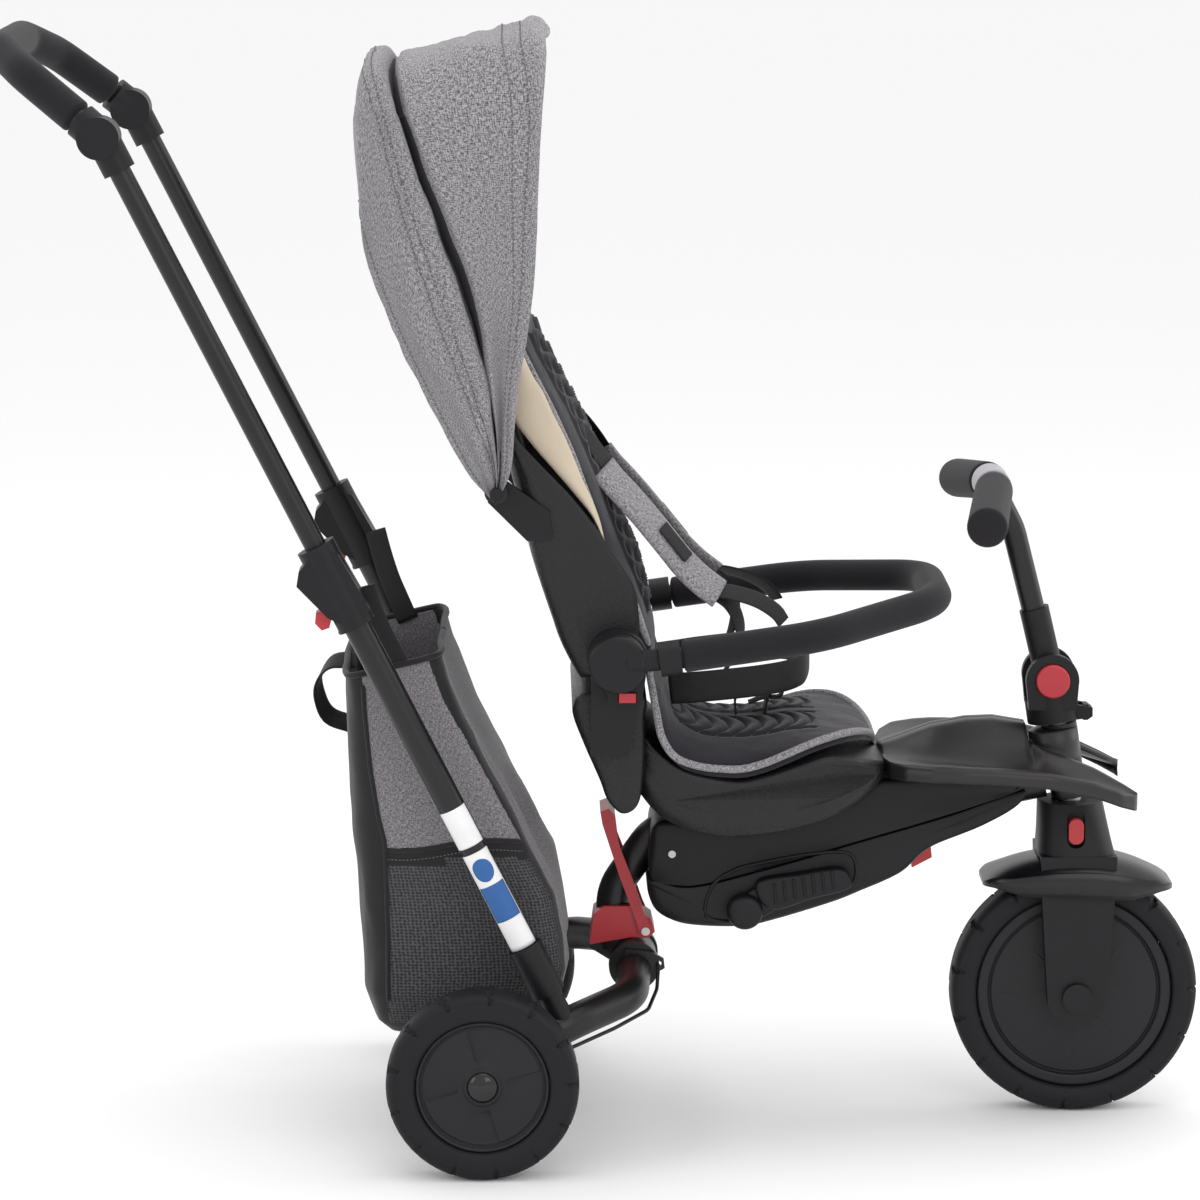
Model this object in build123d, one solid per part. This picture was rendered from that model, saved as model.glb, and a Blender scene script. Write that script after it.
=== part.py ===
from build123d import *
import os
from math import cos, radians, sin, tan

# Folding child's tricycle, in millimetres. +X forward, +Y the child's left, +Z up.
# The pieces are laid out from the front axle's X and from the floor, and moved as one
# when they are written, so that the origin is under the middle of the whole tricycle.
ORIGIN_X = -446.0

# wheels
FRONT_R, FRONT_W, FRONT_RIM_R = 117.5, 44.0, 94.0
REAR_R, REAR_W, REAR_RIM_R = 88.0, 40.0, 62.0
REAR_X, REAR_Y = -562.0, 225.0
AXLE_R, REAR_AXLE_R, RUNNING = 5.0, 6.0, 0.06

# steering column, which leans back from the fork
STEER_X, STEER_Z, STEER_LEAN = -7.0, 310.0, 9.0
NECK_BOTTOM, NECK_TOP, NECK_R = 250.0, 302.0, 31.0
COLUMN_R, HEAD_R, HEAD_WALL = 11.0, 17.0, 3.7
FOLD_X, FOLD_Z, FOLD_R = -26.0, 420.0, 25.0
BAR_X, BAR_Z, BAR_HALF = -84.0, 604.0, 156.0

# main frame and its fold
HINGE_X, HINGE_Z = -420.0, 148.0
FRAME_TUBE_R, FRAME_TUBE_WALL = 16.0, 2.0
MAIN_PATH = [(-31, 0, 320), (-290, 0, 266), (-395, 0, 280), (-441, 0, 213), (-436, 0, 160)]
MAIN_BENDS = [60, 40, 50]
PIN_X, PIN_Z = -409.0, 180.0
BODY_HALF = 58.0

# push handle
HANDLE_Y, HANDLE_LEAN = 176.0, 26.75
HANDLE_X0, HANDLE_Z0 = -504.0, 165.0
LOWER_R, UPPER_R, UPPER_WALL = 12.5, 10.0, 1.6
HOUSING_TOP_Z, KNUCKLE_Z = 576.0, 934.0

# seat, backrest, bar and canopy
HUB_X, HUB_Z, HUB_R = -438.0, 464.0, 26.5
SEAT_HALF, BACK_HALF, BAR_RISE = 124.0, 122.0, 7.9
HOOD_X, HOOD_Z, HOOD_HALF, HOOD_TOP = -548.0, 618.0, 150.0, 1034.0

PARTS = {}


def add(name, *shapes):
    """Keeps one node: one solid, or a group of separate solids."""
    solids = [s for shape in shapes for s in shape.solids()]
    PARTS[name] = solids[0] if len(solids) == 1 else Compound(solids)


def side(points, y0, y1, smooth=False):
    """A plate whose outline lies in the X-Z plane, from y0 to y1."""
    edge = Spline(*points, periodic=True) if smooth else Polyline(*points, close=True)
    face = make_face(Plane.XZ.offset(-y0) * edge)
    return extrude(face, amount=y1 - y0, dir=(0, 1, 0))


def rod(r, x, z, y0, y1):
    """A cylinder along Y."""
    spot = Plane(origin=(x, min(y0, y1), z), z_dir=(0, 1, 0))
    return spot * Cylinder(r, abs(y1 - y0), align=(Align.CENTER, Align.CENTER, Align.MIN))


def disc(profile, x, z):
    """Turns a half section of (radius, y) points about a Y axle."""
    face = make_face(Polyline(*[(r, y) for r, y in profile], close=True))
    turned = revolve(face, Axis.Y, 360)
    return Pos(x, 0, z) * turned


def pipe(points, radii, r, bore=0.0):
    """A round tube along straight runs joined by arcs."""
    path = FilletPolyline(*points, radius=radii) if radii else Line(*points)
    ring = Circle(r) - Circle(bore) if bore else Circle(r)
    return sweep(Plane(path @ 0, z_dir=path % 0) * ring, path=path)


def flip(shape):
    return mirror(shape, about=Plane.XZ)


def on_column(z):
    """Where the steering axis is at height z."""
    return STEER_X - (z - STEER_Z) * tan(radians(STEER_LEAN))


def column(r, z0, z1, shift=0.0):
    """A cylinder on the steering axis between two heights."""
    start = (on_column(z0) + shift, 0, z0)
    end = (on_column(z1) + shift, 0, z1)
    return pipe([start, end], None, r)


def on_handle(z, y=HANDLE_Y):
    """Where a handle tube's axis is at height z."""
    return (HANDLE_X0 - (z - HANDLE_Z0) * tan(radians(HANDLE_LEAN)), y, z)


def front_wheel():
    half, rim_half = FRONT_W / 2, 17.0
    tyre = [(FRONT_RIM_R, -rim_half), (FRONT_RIM_R + 9, -half), (FRONT_R - 6, -half),
            (FRONT_R, -half + 7), (FRONT_R, half - 7), (FRONT_R - 6, half),
            (FRONT_RIM_R + 9, half), (FRONT_RIM_R, rim_half)]
    add("front_tyre", disc(tyre, 0, FRONT_R))
    bore = AXLE_R + RUNNING
    rim = [(bore, -23), (22, -23), (24, -19), (70, -14), (84, -14), (86, -rim_half),
           (FRONT_RIM_R, -rim_half), (FRONT_RIM_R, rim_half), (86, rim_half), (84, 14),
           (70, 14), (24, 19), (22, 23), (bore, 23)]
    add("front_rim", disc(rim, 0, FRONT_R))
    caps = [rod(14, 0, FRONT_R, s * 41, s * 46) for s in (1, -1)]
    add("front_axle", rod(AXLE_R, 0, FRONT_R, -41, 41), *caps)


def fork():
    leg = side([(-36, NECK_BOTTOM + 4), (36, NECK_BOTTOM + 4), (35, 220), (28, FRONT_R),
                (-28, FRONT_R), (-35, 220)], 27, 41)
    leg += rod(28, 0, FRONT_R, 27, 41)
    foot = Plane.XY.offset(NECK_BOTTOM) * RectangleRounded(74, 82, 26)
    top = Plane((on_column(NECK_TOP), 0, NECK_TOP)) * Circle(NECK_R)
    whole = loft([foot.face(), top.face()]) + leg + flip(leg)
    whole -= rod(AXLE_R, 0, FRONT_R, -60, 60)
    whole -= column(COLUMN_R, NECK_BOTTOM + 6, NECK_TOP + 10)
    slot = Pos(-3, -36, 280) * Box(17, 16, 36)
    whole -= fillet(slot.edges().filter_by(Axis.Y), 8)
    add("fork", whole)
    brim = [(-87, 231), (-62, 243), (-38, 250), (38, 250), (62, 242), (87, 229),
            (84, 222), (50, 214), (-52, 216), (-84, 224)]
    fender = fillet(side(brim, -47, 47).edges().filter_by(Axis.Y), 2.5)
    add("fender", fender - rod(FRONT_R + 5, 0, FRONT_R, -25, 25) - leg - flip(leg))
    knob = Pos(-3, -33.7, 278) * Box(14, 10, 24)
    add("clutch_slider", fillet(knob.edges().filter_by(Axis.Y), 6.5))


def steering_column():
    bush = HEAD_R - HEAD_WALL
    add("steering_tube", column(COLUMN_R, NECK_BOTTOM + 6, 397))
    ring = [column(bush, z, z + 12) - column(COLUMN_R + 0.05, z - 5, z + 20)
            for z in (307, 362)]
    add("head_bushes", *ring)
    collar = column(FOLD_R, 379, 405, -4)
    ears = side([(FOLD_X - 22, 392), (FOLD_X + 23, 392), (FOLD_X + FOLD_R, FOLD_Z),
                 (FOLD_X - FOLD_R, FOLD_Z)], -24, 24) + rod(FOLD_R, FOLD_X, FOLD_Z, -24, 24)
    yoke = collar + ears - column(COLUMN_R, 370, 397)
    yoke -= Pos(FOLD_X, 0, 430) * Box(90, 30, 64)
    yoke -= rod(16.4, FOLD_X, FOLD_Z, -30, -18.6)
    yoke -= rod(5, FOLD_X, FOLD_Z, -24, 24)
    cheek = side([(-8, 380), (11, 382), (11, 393), (-8, 396)], 8.3, 12)
    yoke += cheek + flip(cheek)
    add("stem_yoke", yoke, rod(5, FOLD_X, FOLD_Z, -18.4, 24))
    button = fillet(rod(16, FOLD_X, FOLD_Z, -28.5, -22).edges().group_by(Axis.Y)[0], 2)
    add("fold_button", button)
    latch = side([(5, 379.5), (9, 379.5), (14, 383), (14, 391), (9, 394.5), (5, 394.5)], -8, 8)
    add("stem_latch", latch)


def handlebar():
    knuckle = rod(20.5, FOLD_X, FOLD_Z, -14.6, 14.6)
    sleeve = pipe([(FOLD_X - 3, 0, FOLD_Z + 10), (FOLD_X - 16.5, 0, 486)], None, 14)
    hinge = knuckle + sleeve - rod(5 + RUNNING, FOLD_X, FOLD_Z, -20, 20)
    stem_path = [(FOLD_X - 7, 0, 446), (-63, 0, 562), (BAR_X + 4, 0, BAR_Z - 9)]
    hinge -= pipe(stem_path, [60], 11)
    add("handlebar_hinge", hinge)
    ends = [(BAR_X - 19, s * BAR_HALF, BAR_Z - 17) for s in (-1, 1)]
    bends = [(BAR_X, s * 24, BAR_Z) for s in (-1, 1)]
    bar = pipe([ends[0], bends[0], bends[1], ends[1]], [40, 40], 11)
    add("handlebar_tube", pipe(stem_path, [60], 11) - bar, bar)
    clamp = rod(17, BAR_X, BAR_Z, -20, 20) - bar
    clamp -= pipe(stem_path, [60], 11)
    add("handlebar_clamp", fillet(clamp.edges().group_by(Axis.Y)[0], 1.5))
    grips = []
    for end, bend in zip(ends, bends):
        way = Vector(*end) - Vector(*bend)
        start, stop = Vector(*bend) + way * 0.01, Vector(*end) + way.normalized() * 3
        foam = pipe([start, stop], None, 18.5)
        grips.append(foam - rod(17.2, BAR_X, BAR_Z, -20.5, 20.5) - bar)
    add("handlebar_grips", *grips)


def body_outline(drop=0.0):
    """The plastic body's side outline, drawn in by drop all round."""
    d = drop
    return [(-404 + d, 291 - d), (-361, 291 - d), (-324, 287 - d), (-269, 296 - d),
            (-213, 318 - d), (-188, 333 - d), (-50 - d, 331 - d), (-50 - d, 303 + d),
            (-91, 286 + d), (-142, 267 + d), (-170, 243 + d), (-209, 225 + d),
            (-288, 199 + d), (-316, 192 + d), (-352, 192 + d), (-380 + d, 198 + d),
            (-398 + d, 218 + d), (-406 + d, 243)]


def body_shells():
    plan = Polyline((-410, -BODY_HALF), (-150, -BODY_HALF), (-46, -36), (-46, 36),
                    (-150, BODY_HALF), (-410, BODY_HALF), close=True)
    whole = side(body_outline(), -BODY_HALF, BODY_HALF) & extrude(make_face(plan), amount=400)
    inner = side(body_outline(3.5), -BODY_HALF + 3.5, BODY_HALF - 3.5)
    slim = scale(make_face(plan), (1, 0.91, 1))
    whole -= inner & extrude(slim, amount=400)
    recess = [(-352, 204), (-345, 232), (-300, 252), (-220, 262), (-212, 240), (-228, 228),
              (-290, 208), (-318, 200)]
    floor = [(-355, 201), (-348, 235), (-300, 255), (-217, 266), (-209, 238), (-226, 224),
             (-290, 204), (-318, 196)]
    backing, well = side(floor, 44, 55), side(recess, 47, 70)
    whole = whole + backing + flip(backing) - well - flip(well)
    whole -= pipe(MAIN_PATH, MAIN_BENDS, FRAME_TUBE_R + 0.4)
    whole -= Pos(-147, 0, 258) * Box(22, 26.6, 26)
    seam = side([(-430, 236), (-378, 230), (-352, 233), (-302, 246), (-218, 271),
                 (-124, 298), (-30, 328), (-30, 380), (-430, 380)], -80, 80)
    screws = PARTS["chassis_fasteners"]
    add("body_upper_shell", largest((whole & seam) - screws))
    add("body_lower_shell", largest(whole - seam - screws))
    tab = side([(-156, 238), (-137, 248), (-138, 258), (-150, 262), (-157, 256)], -13, 13)
    add("release_tab", tab)


def largest(shape):
    return max(shape.solids(), key=lambda s: s.volume)


def main_frame():
    tube = pipe(MAIN_PATH, MAIN_BENDS, FRAME_TUBE_R, FRAME_TUBE_R - FRAME_TUBE_WALL)
    barrel = rod(22, HINGE_X, HINGE_Z, -22, 22) - rod(8 + RUNNING, HINGE_X, HINGE_Z, -30, 30)
    head = column(HEAD_R, 305, 376)
    tube = largest(tube - rod(22, HINGE_X, HINGE_Z, -40, 40) - head)
    add("main_frame", tube, head - column(HEAD_R - HEAD_WALL, 300, 390), barrel)
    collar = side([(-462, 166), (-458, 196), (-448, 203), (-424, 203), (-412, 196), (-403, 190),
                   (-400, 178), (-406, 172), (-420, 173), (-440, 170)], -20, 20)
    collar -= pipe(MAIN_PATH, MAIN_BENDS, FRAME_TUBE_R + 0.1) + rod(22.2, HINGE_X, HINGE_Z, -30, 30)
    collar -= rod(4, PIN_X, PIN_Z, -30, 30)
    add("latch_collar", largest(collar))
    screws = [rod(3.5, x, z, s * 54.8, s * 57) for s in (1, -1) for x, z in ((-385, 262), (-190, 290))]
    add("chassis_fasteners", rod(4, PIN_X, PIN_Z, -27, 27), *screws)
    blade = [(-404, 176), (-405, 186), (-411, 200), (-422, 232), (-435, 266), (-438, 292),
             (-444, 299), (-452, 296), (-450, 284), (-443, 262), (-434, 234), (-420, 196), (-414, 176)]
    plates = side(blade, -25, 25) - side([(-400, 170), (-400, 284), (-470, 284), (-470, 170)], -20.4, 20.4)
    add("fold_lever", plates - rod(4 + RUNNING, PIN_X, PIN_Z, -30, 30))


def footrest():
    outline = [(-186, 0), (-186, 60), (-178, 100), (-150, 121), (-90, 125), (-30, 119),
               (25, 104), (48, 92), (46, 72), (20, 54), (-20, 46), (-36, 34), (-50, 0)]
    plan = extrude(make_face(Polyline(*outline, close=True)), amount=420)
    slab = side([(-192, 338), (-148, 334), (-60, 336), (-10, 330), (50, 319), (50, 327),
                 (10, 342), (-37, 353), (-84, 358), (-140, 360), (-192, 356)], -130, 130)
    ridge = side([(-186, 345), (-186, 358), (-140, 375), (-87, 381), (-48, 377), (-40, 372),
                  (-40, 345)], -30, 30)
    plate = slab & (plan + flip(plan))
    plate += ridge & (plan + flip(plan))
    well = Pos(-85, 78, 372) * scale(Sphere(1), (72, 34, 26))
    plate -= well + flip(well)
    slim = Pos(-70, 0, 0) * scale(Pos(70, 0, 0) * (plan + flip(plan)), (0.94, 0.93, 1))
    plate -= Pos(0, 0, -7) * plate & slim
    boss = column(24, 334, 374)
    arm = Pos(-36, 0, 352) * Box(40, 30, 30)
    plate = plate + boss + arm - column(HEAD_R + 0.1, 300, 400)
    plate -= pipe(MAIN_PATH, MAIN_BENDS, FRAME_TUBE_R + 0.1)
    add("footrest", largest(plate))


def seat():
    plan = Pos(-312, 0, 0) * RectangleRounded(252, 2 * SEAT_HALF, 70)
    plan_in = Pos(-316, 0, 0) * RectangleRounded(242, 2 * SEAT_HALF - 14, 64)
    pad = side([(-193, 358), (-196, 377), (-225, 383), (-270, 371), (-330, 361), (-380, 370),
                (-402, 398), (-407, 434), (-436, 434), (-434, 380), (-420, 345), (-395, 318),
                (-361, 303), (-324, 299), (-269, 308), (-217, 329), (-198, 346)], -130, 130)
    pad = pad & extrude(plan_in, amount=600)
    pan = side([(-432, 350), (-417, 328), (-395, 307), (-361, 293.5), (-324, 289.5), (-269, 298.5),
                (-213, 320), (-190, 337), (-188, 356), (-223, 356), (-269, 345), (-306, 339),
                (-343, 343), (-380, 357), (-405, 378), (-434, 378)], -130, 130)
    pan = pan & extrude(plan, amount=600)
    add("seat_cushion", largest(pad))
    pan = largest(pan - pad)
    add("seat_pan", pan)
    rear = side([(-472, 435), (-479, 412), (-470, 382), (-455, 350), (-440, 318), (-405, 300),
                 (-400, 435)], -118, 118)
    rear = fillet(rear.edges().filter_by(Axis.Y).group_by(Axis.X)[0], 10)
    outer = side([(-434, 250), (-395, 307), (-361, 293), (-180, 300), (-180, 378), (-434, 378)], -130, 130)
    rear -= (outer & extrude(plan, amount=600)) + pad
    rear -= side([(-436, 378), (-380, 378), (-380, 500), (-436, 500)], -130, 130)
    rear -= Pos(-445, 0, 375) * Box(40, 180, 70)
    add("seat_back_lower", largest(rear))
    brackets = []
    for s in (1, -1):
        y0, y1 = sorted((s * 126, s * 134))
        leg = side([(-462, 464), (-414, 464), (-418, 420), (-428, 372), (-462, 372)], y0, y1)
        pod = side([(-450, 450), (-412, 450), (-416, 424), (-446, 424)], *sorted((s * 126, s * 149.4)))
        hub = rod(HUB_R + 1, HUB_X, HUB_Z, s * 126, s * 149.4)
        pocket = Pos(-429, s * 149, 430.5) * Box(17, 14, 10)
        foot = side([(-462, 380), (-428, 380), (-428, 372), (-462, 372)], *sorted((s * 112, s * 130)))
        brackets.append(leg + pod + hub + foot - pocket - rod(6, HUB_X, HUB_Z, s * 110, s * 160))
    add("side_brackets", *[b - PARTS["seat_back_lower"] for b in brackets])
    for s, name in ((1, "left"), (-1, "right")):
        add("bar_button_" + name, Pos(-429, s * 150, 430.5) * Box(15.4, 7.4, 8.6))


def straps():
    """The lap belt, the crotch strap and its buckle, which stand in the seat."""
    belt = Pos(-325, 0, 0) * (RectangleRounded(130, 176, 50) - RectangleRounded(124, 170, 47))
    lap = Pos(0, 0, 424) * Rot(0, -6, 0) * extrude(belt, amount=28)
    lap -= side([(-480, 300), (-398, 300), (-398, 520), (-480, 520)], -130, 130)
    crotch = side([(-296, 384), (-293, 402), (-282, 416), (-262, 422), (-262, 419), (-279, 413),
                   (-289, 400), (-291, 384)], -15, 15)
    add("lap_straps", largest(lap), crotch)
    add("crotch_buckle", fillet((Pos(-294, 0, 376) * Box(16, 34, 14)).edges().filter_by(Axis.Z), 4))


def safety_bar():
    """The padded bar that swings up on two side hubs."""
    frame = Plane(origin=(HUB_X, 0, HUB_Z), x_dir=(cos(radians(BAR_RISE)), 0, sin(radians(BAR_RISE))),
                  z_dir=(-sin(radians(BAR_RISE)), 0, cos(radians(BAR_RISE))))
    corners = [(58, 168), (186, 165), (302, 72)]
    run = corners + [(u, -v) for u, v in reversed(corners)]
    foam_path = [frame.from_local_coords((u, v, 0)) for u, v in run]
    tube_run = [(22, 168)] + run[1:-1] + [(22, -168)]
    tube_path = [frame.from_local_coords((u, v, 0)) for u, v in tube_run]
    bends = [100, 75, 75, 100]
    add("bar_tube", pipe(tube_path, bends, 8))
    foam = pipe(foam_path, bends, 15, 8)
    add("bar_foam", foam)
    arms = []
    for s in (1, -1):
        tip = frame.from_local_coords((57.8, s * 168, 0))
        neck = frame.from_local_coords((38, s * 168, 0))
        root = frame.from_local_coords((10, s * 164, 0))
        sleeve = pipe([neck, tip], None, 16) + pipe([root, neck], None, 10)
        hub = rod(HUB_R, HUB_X, HUB_Z, s * 150, s * 172)
        hub = fillet(hub.edges().group_by(Axis.Y)[-1 if s > 0 else 0], 4)
        spindle = rod(6 - RUNNING, HUB_X, HUB_Z, s * 128, s * 152)
        arms.append(largest(hub + sleeve + spindle - pipe(tube_path, bends, 8) - foam))
    add("bar_arms", *arms)


def backrest():
    cushion = [(-524, 800), (-508, 750), (-489, 718), (-464, 662), (-449, 616), (-426, 560),
               (-413, 514), (-405, 467), (-405, 446), (-452, 446), (-470, 480), (-493, 543),
               (-508, 604), (-526, 674), (-548, 800)]
    pad = side(cushion, -104, 104)
    add("backrest_cushion", pad)
    shell = side([(-470, 447), (-485, 477), (-508, 543), (-522, 604), (-538, 670), (-552, 740),
                  (-562, 806), (-540, 806), (-522, 700), (-530, 668), (-491, 629), (-459, 588),
                  (-440, 559), (-420, 530), (-416, 490), (-424, 447)], -BACK_HALF, BACK_HALF)
    room = side([(-405, 440), (-458, 440), (-475, 477), (-498, 543), (-512, 604), (-529, 672),
                 (-546, 750), (-553, 812), (-400, 812)], -BACK_HALF + 5, BACK_HALF - 5)
    shell = largest(shell - room - pad)
    add("backrest_shell", shell)
    panel = side([(-525, 742), (-521, 745), (-497, 700), (-466, 630), (-443, 562), (-450, 558),
                  (-484, 616), (-508, 680)], 105, 115.7)
    add("side_panels", panel, flip(panel))
    parts = []
    for s in (1, -1):
        plate = side([(-556, 628), (-540, 628), (-500, 600), (-497, 574), (-520, 572), (-556, 608)],
                     *sorted((s * BACK_HALF, s * 130)))
        knob = rod(11, HOOD_X, HOOD_Z, s * 129, s * 136) + rod(6, HOOD_X, HOOD_Z, s * 136, s * 152.5)
        parts.append(plate + knob)
    rear_bow = bow(-16, 380, 131)
    add("canopy_brackets", *parts, largest(rear_bow - parts[0] - parts[1]))
    add("canopy_front_bow", bow(4.5, 402, 139) - rod(6.1, HOOD_X, HOOD_Z, -160, 160))


def bow(lean, reach, half):
    """A bent rod from one canopy pivot over to the other, leaning back by -lean degrees."""
    top = (HOOD_X + reach * sin(radians(lean)), HOOD_Z + reach * cos(radians(lean)))
    foot = (HOOD_X + 12 * sin(radians(lean)), HOOD_Z + 12 * cos(radians(lean)))
    pts = [(foot[0], -half, foot[1]), (top[0], -half, top[1]), (top[0], half, top[1]),
           (foot[0], half, foot[1])]
    eyes = [rod(10, HOOD_X, HOOD_Z, s * (half - 2.5), s * (half + 2.5)) for s in (1, -1)]
    return pipe(pts, [80, 80], 3.5) + eyes[0] + eyes[1]


def canopy_and_harness():
    outer = side([(-512, HOOD_TOP), (-646, 1010), (-668, 1000), (-680, 960), (-670, 880),
                  (-652, 800), (-622, 724), (-582, 660), (-566, 604), (-540, 604), (-530, 700),
                  (-512, 860), (-500, 1000)], -HOOD_HALF, HOOD_HALF)
    inner = side([(-400, HOOD_TOP - 6), (-512, HOOD_TOP - 6), (-644, 1004), (-662, 995), (-674, 959),
                  (-664, 880), (-646, 802), (-617, 727), (-577, 664), (-562, 612), (-556, 560),
                  (-400, 560)], -HOOD_HALF + 4, HOOD_HALF - 4)
    arch = extrude(Plane.YZ.offset(-900) * Pos(0, 790) * RectangleRounded(300, 488, 95), amount=900)
    arch_in = extrude(Plane.YZ.offset(-900) * Pos(0, 780) * RectangleRounded(292, 500, 91), amount=900)
    hood = (outer & arch) - (inner & (Pos(0, 0, -2) * arch_in))
    hood -= rod(6.5, HOOD_X, HOOD_Z, -160, 160)
    add("canopy_hood", largest(hood))
    pads, webs = [], []
    for s in (1, -1):
        y0, y1 = sorted((s * 42, s * 82))
        pads.append(side([(-442, 612), (-434, 617), (-394, 584), (-352, 531), (-345, 510),
                          (-353, 506), (-364, 523), (-402, 573)], y0, y1))
        y0, y1 = sorted((s * 52, s * 74))
        webs.append(side([(-462, 664), (-460, 668), (-443, 625), (-438, 616.5), (-442.2, 613)], y0, y1))
        webs.append(side([(-346, 506), (-350, 505), (-345, 484), (-330, 452), (-327, 455), (-340, 486)],
                         y0, y1))
    add("shoulder_pads", *pads)
    add("harness_webbing", *webs)


def rear_frame():
    tubes = []
    run = [(-420, 30, 146), (-424, 112, 140), (-484, 176, 130), (-552, 186, 96)]
    for s in (1, -1):
        path = [(x, s * y, z) for x, y, z in run]
        tube = pipe(path, [62, 60], FRAME_TUBE_R)
        flange = rod(24, HINGE_X, HINGE_Z, s * 22.4, s * 33)
        boss = rod(15, REAR_X, REAR_R, s * 180, s * 203.5)
        whole = tube + flange + boss - rod(REAR_AXLE_R, REAR_X, REAR_R, s * 170, s * 260)
        tubes.append(whole - rod(8, HINGE_X, HINGE_Z, -40, 40))
    axles = [rod(REAR_AXLE_R, REAR_X, REAR_R, s * 182, s * 241) for s in (1, -1)]
    add("rear_axles", *axles, rod(8, HINGE_X, HINGE_Z, -33, 33))
    plate = side([(-434, 140), (-428, 166), (-404, 163), (-392, 156), (-391, 147), (-400, 142),
                  (-420, 132)], -37.5, -33.2) - rod(3, -397, 151, -50, -20)
    ear = side([(-462, 150), (-458, 164), (-446, 172), (-436, 168), (-426, 150), (-440, 136)], 33.2, 37.5)
    add("rear_tubes", *tubes, plate, ear)
    cable = [(-397, -39.5, 151), (-399, -58, 132), (-408, -92, 121), (-440, -135, 115),
             (-484, -172, 105), (-528, -180, 84), (-552, -186, 72)]
    add("brake_cable", pipe(cable, [12, 26, 40, 42, 40], 1.8))


def handle():
    lower, upper, housings, sockets = [], [], [], []
    for s in (1, -1):
        y = s * HANDLE_Y
        plug = pipe([on_handle(133, y), on_handle(166, y)], None, 11)
        cup = pipe([on_handle(160, y), on_handle(204, y)], None, 16)
        socket = plug + cup - pipe([on_handle(166, y), on_handle(210, y)], None, LOWER_R)
        sockets.append(socket - PARTS["rear_tubes"])
        lower.append(pipe([on_handle(166, y), on_handle(540, y)], None, LOWER_R, UPPER_R + RUNNING))
        upper.append(pipe([on_handle(424, y), on_handle(KNUCKLE_Z + 6, y)], None, UPPER_R, UPPER_R - UPPER_WALL))
        sleeve = pipe([on_handle(503, y), on_handle(HOUSING_TOP_Z, y)], None, 18)
        bulge = side([(-728, 541), (-726, 554), (-708, 577), (-690, 570), (-662, 520), (-676, 501),
                      (-700, 512)], y - 15, y + 15)
        shape = sleeve + bulge - pipe([on_handle(490, y), on_handle(541, y)], None, LOWER_R)
        shape -= pipe([on_handle(530, y), on_handle(600, y)], None, UPPER_R + 0.3)
        shape -= Pos(-700, y, 510) * Box(26, 14.6, 26)
        housings.append(largest(shape))
    add("lower_tubes", *lower)
    add("tube_housings", *housings, *sockets)
    bow_pts = [on_handle(KNUCKLE_Z, HANDLE_Y), (-915, 172, 958), (-966, 150, 998), (-994, 96, 1017),
               (-994, -96, 1017), (-966, -150, 998), (-915, -172, 958),
               on_handle(KNUCKLE_Z, -HANDLE_Y)]
    core = pipe(bow_pts[1:-1], [40, 45, 45, 40], UPPER_R)
    foam_pts = [(-918, 170.7, 960.4)] + bow_pts[2:-2] + [(-918, -170.7, 960.4)]
    add("handle_grip", pipe(foam_pts, [40, 45, 45, 40], 16, UPPER_R))
    knuckles = []
    for s in (1, -1):
        joint = rod(19, on_handle(938)[0] - 6, 944, s * (HANDLE_Y - 16), s * (HANDLE_Y + 16))
        collar = pipe([on_handle(914, s * HANDLE_Y), on_handle(940, s * HANDLE_Y)], None, 15)
        neck = pipe([(-902, s * HANDLE_Y, 947), (-916, s * 171.5, 958.8)], None, 16.5)
        shape = joint + collar + neck - core
        shape -= pipe([on_handle(424, s * HANDLE_Y), on_handle(KNUCKLE_Z + 6, s * HANDLE_Y)], None, UPPER_R)
        knuckles.append(largest(shape))
    add("handle_knuckles", *knuckles)
    add("upper_tubes", core, *[u - core for u in upper])
    for s, name in ((1, "left"), (-1, "right")):
        y = s * HANDLE_Y
        trigger = side([(-697, 510), (-703, 518), (-711, 516), (-712, 506), (-706, 499.5),
                        (-699, 502)], y - 7, y + 7)
        add("trigger_" + name, trigger)


def rear_wheels():
    for s, name in ((1, "left"), (-1, "right")):
        half = REAR_W / 2
        tyre = [(REAR_RIM_R, -half + 4), (REAR_RIM_R + 8, -half), (REAR_R - 5, -half),
                (REAR_R, -half + 6), (REAR_R, half - 6), (REAR_R - 5, half),
                (REAR_RIM_R + 8, half), (REAR_RIM_R, half - 4)]
        add("rear_tyre_" + name, Pos(0, s * REAR_Y, 0) * disc(tyre, REAR_X, REAR_R))
        bore = REAR_AXLE_R + RUNNING
        rim = [(bore, -19.5), (18, -19.5), (20, -10), (56, -8), (58, -half + 4),
               (REAR_RIM_R, -half + 4), (REAR_RIM_R, half - 4), (58, half - 4), (56, half - 9),
               (21, half - 7), (19, half - 3), (bore, half - 3)]
        rim = disc(rim, REAR_X, REAR_R)
        rim = rim if s > 0 else flip(rim)
        dome = Pos(REAR_X, s * (REAR_Y + 10.5), REAR_R) * Sphere(17)
        dome &= rod(16.5, REAR_X, REAR_R, s * (REAR_Y + half - 2.9), s * (REAR_Y + half + 9))
        add("rear_rim_" + name, Pos(0, s * REAR_Y, 0) * rim, dome)


def storage_bag():
    outer = side([(-690, 446), (-684, 335), (-679, 241), (-672, 147), (-652, 106), (-560, 106),
                  (-505, 118), (-482, 165), (-492, 238), (-546, 342), (-592, 427), (-606, 466)], -140, 140)
    inner = side([(-680, 520), (-679, 335), (-674, 241), (-667, 149), (-650, 111), (-560, 111),
                  (-508, 122), (-488, 167), (-497, 236), (-551, 339), (-597, 424), (-611, 520)], -135, 135)
    add("storage_bag", outer - inner)


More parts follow.
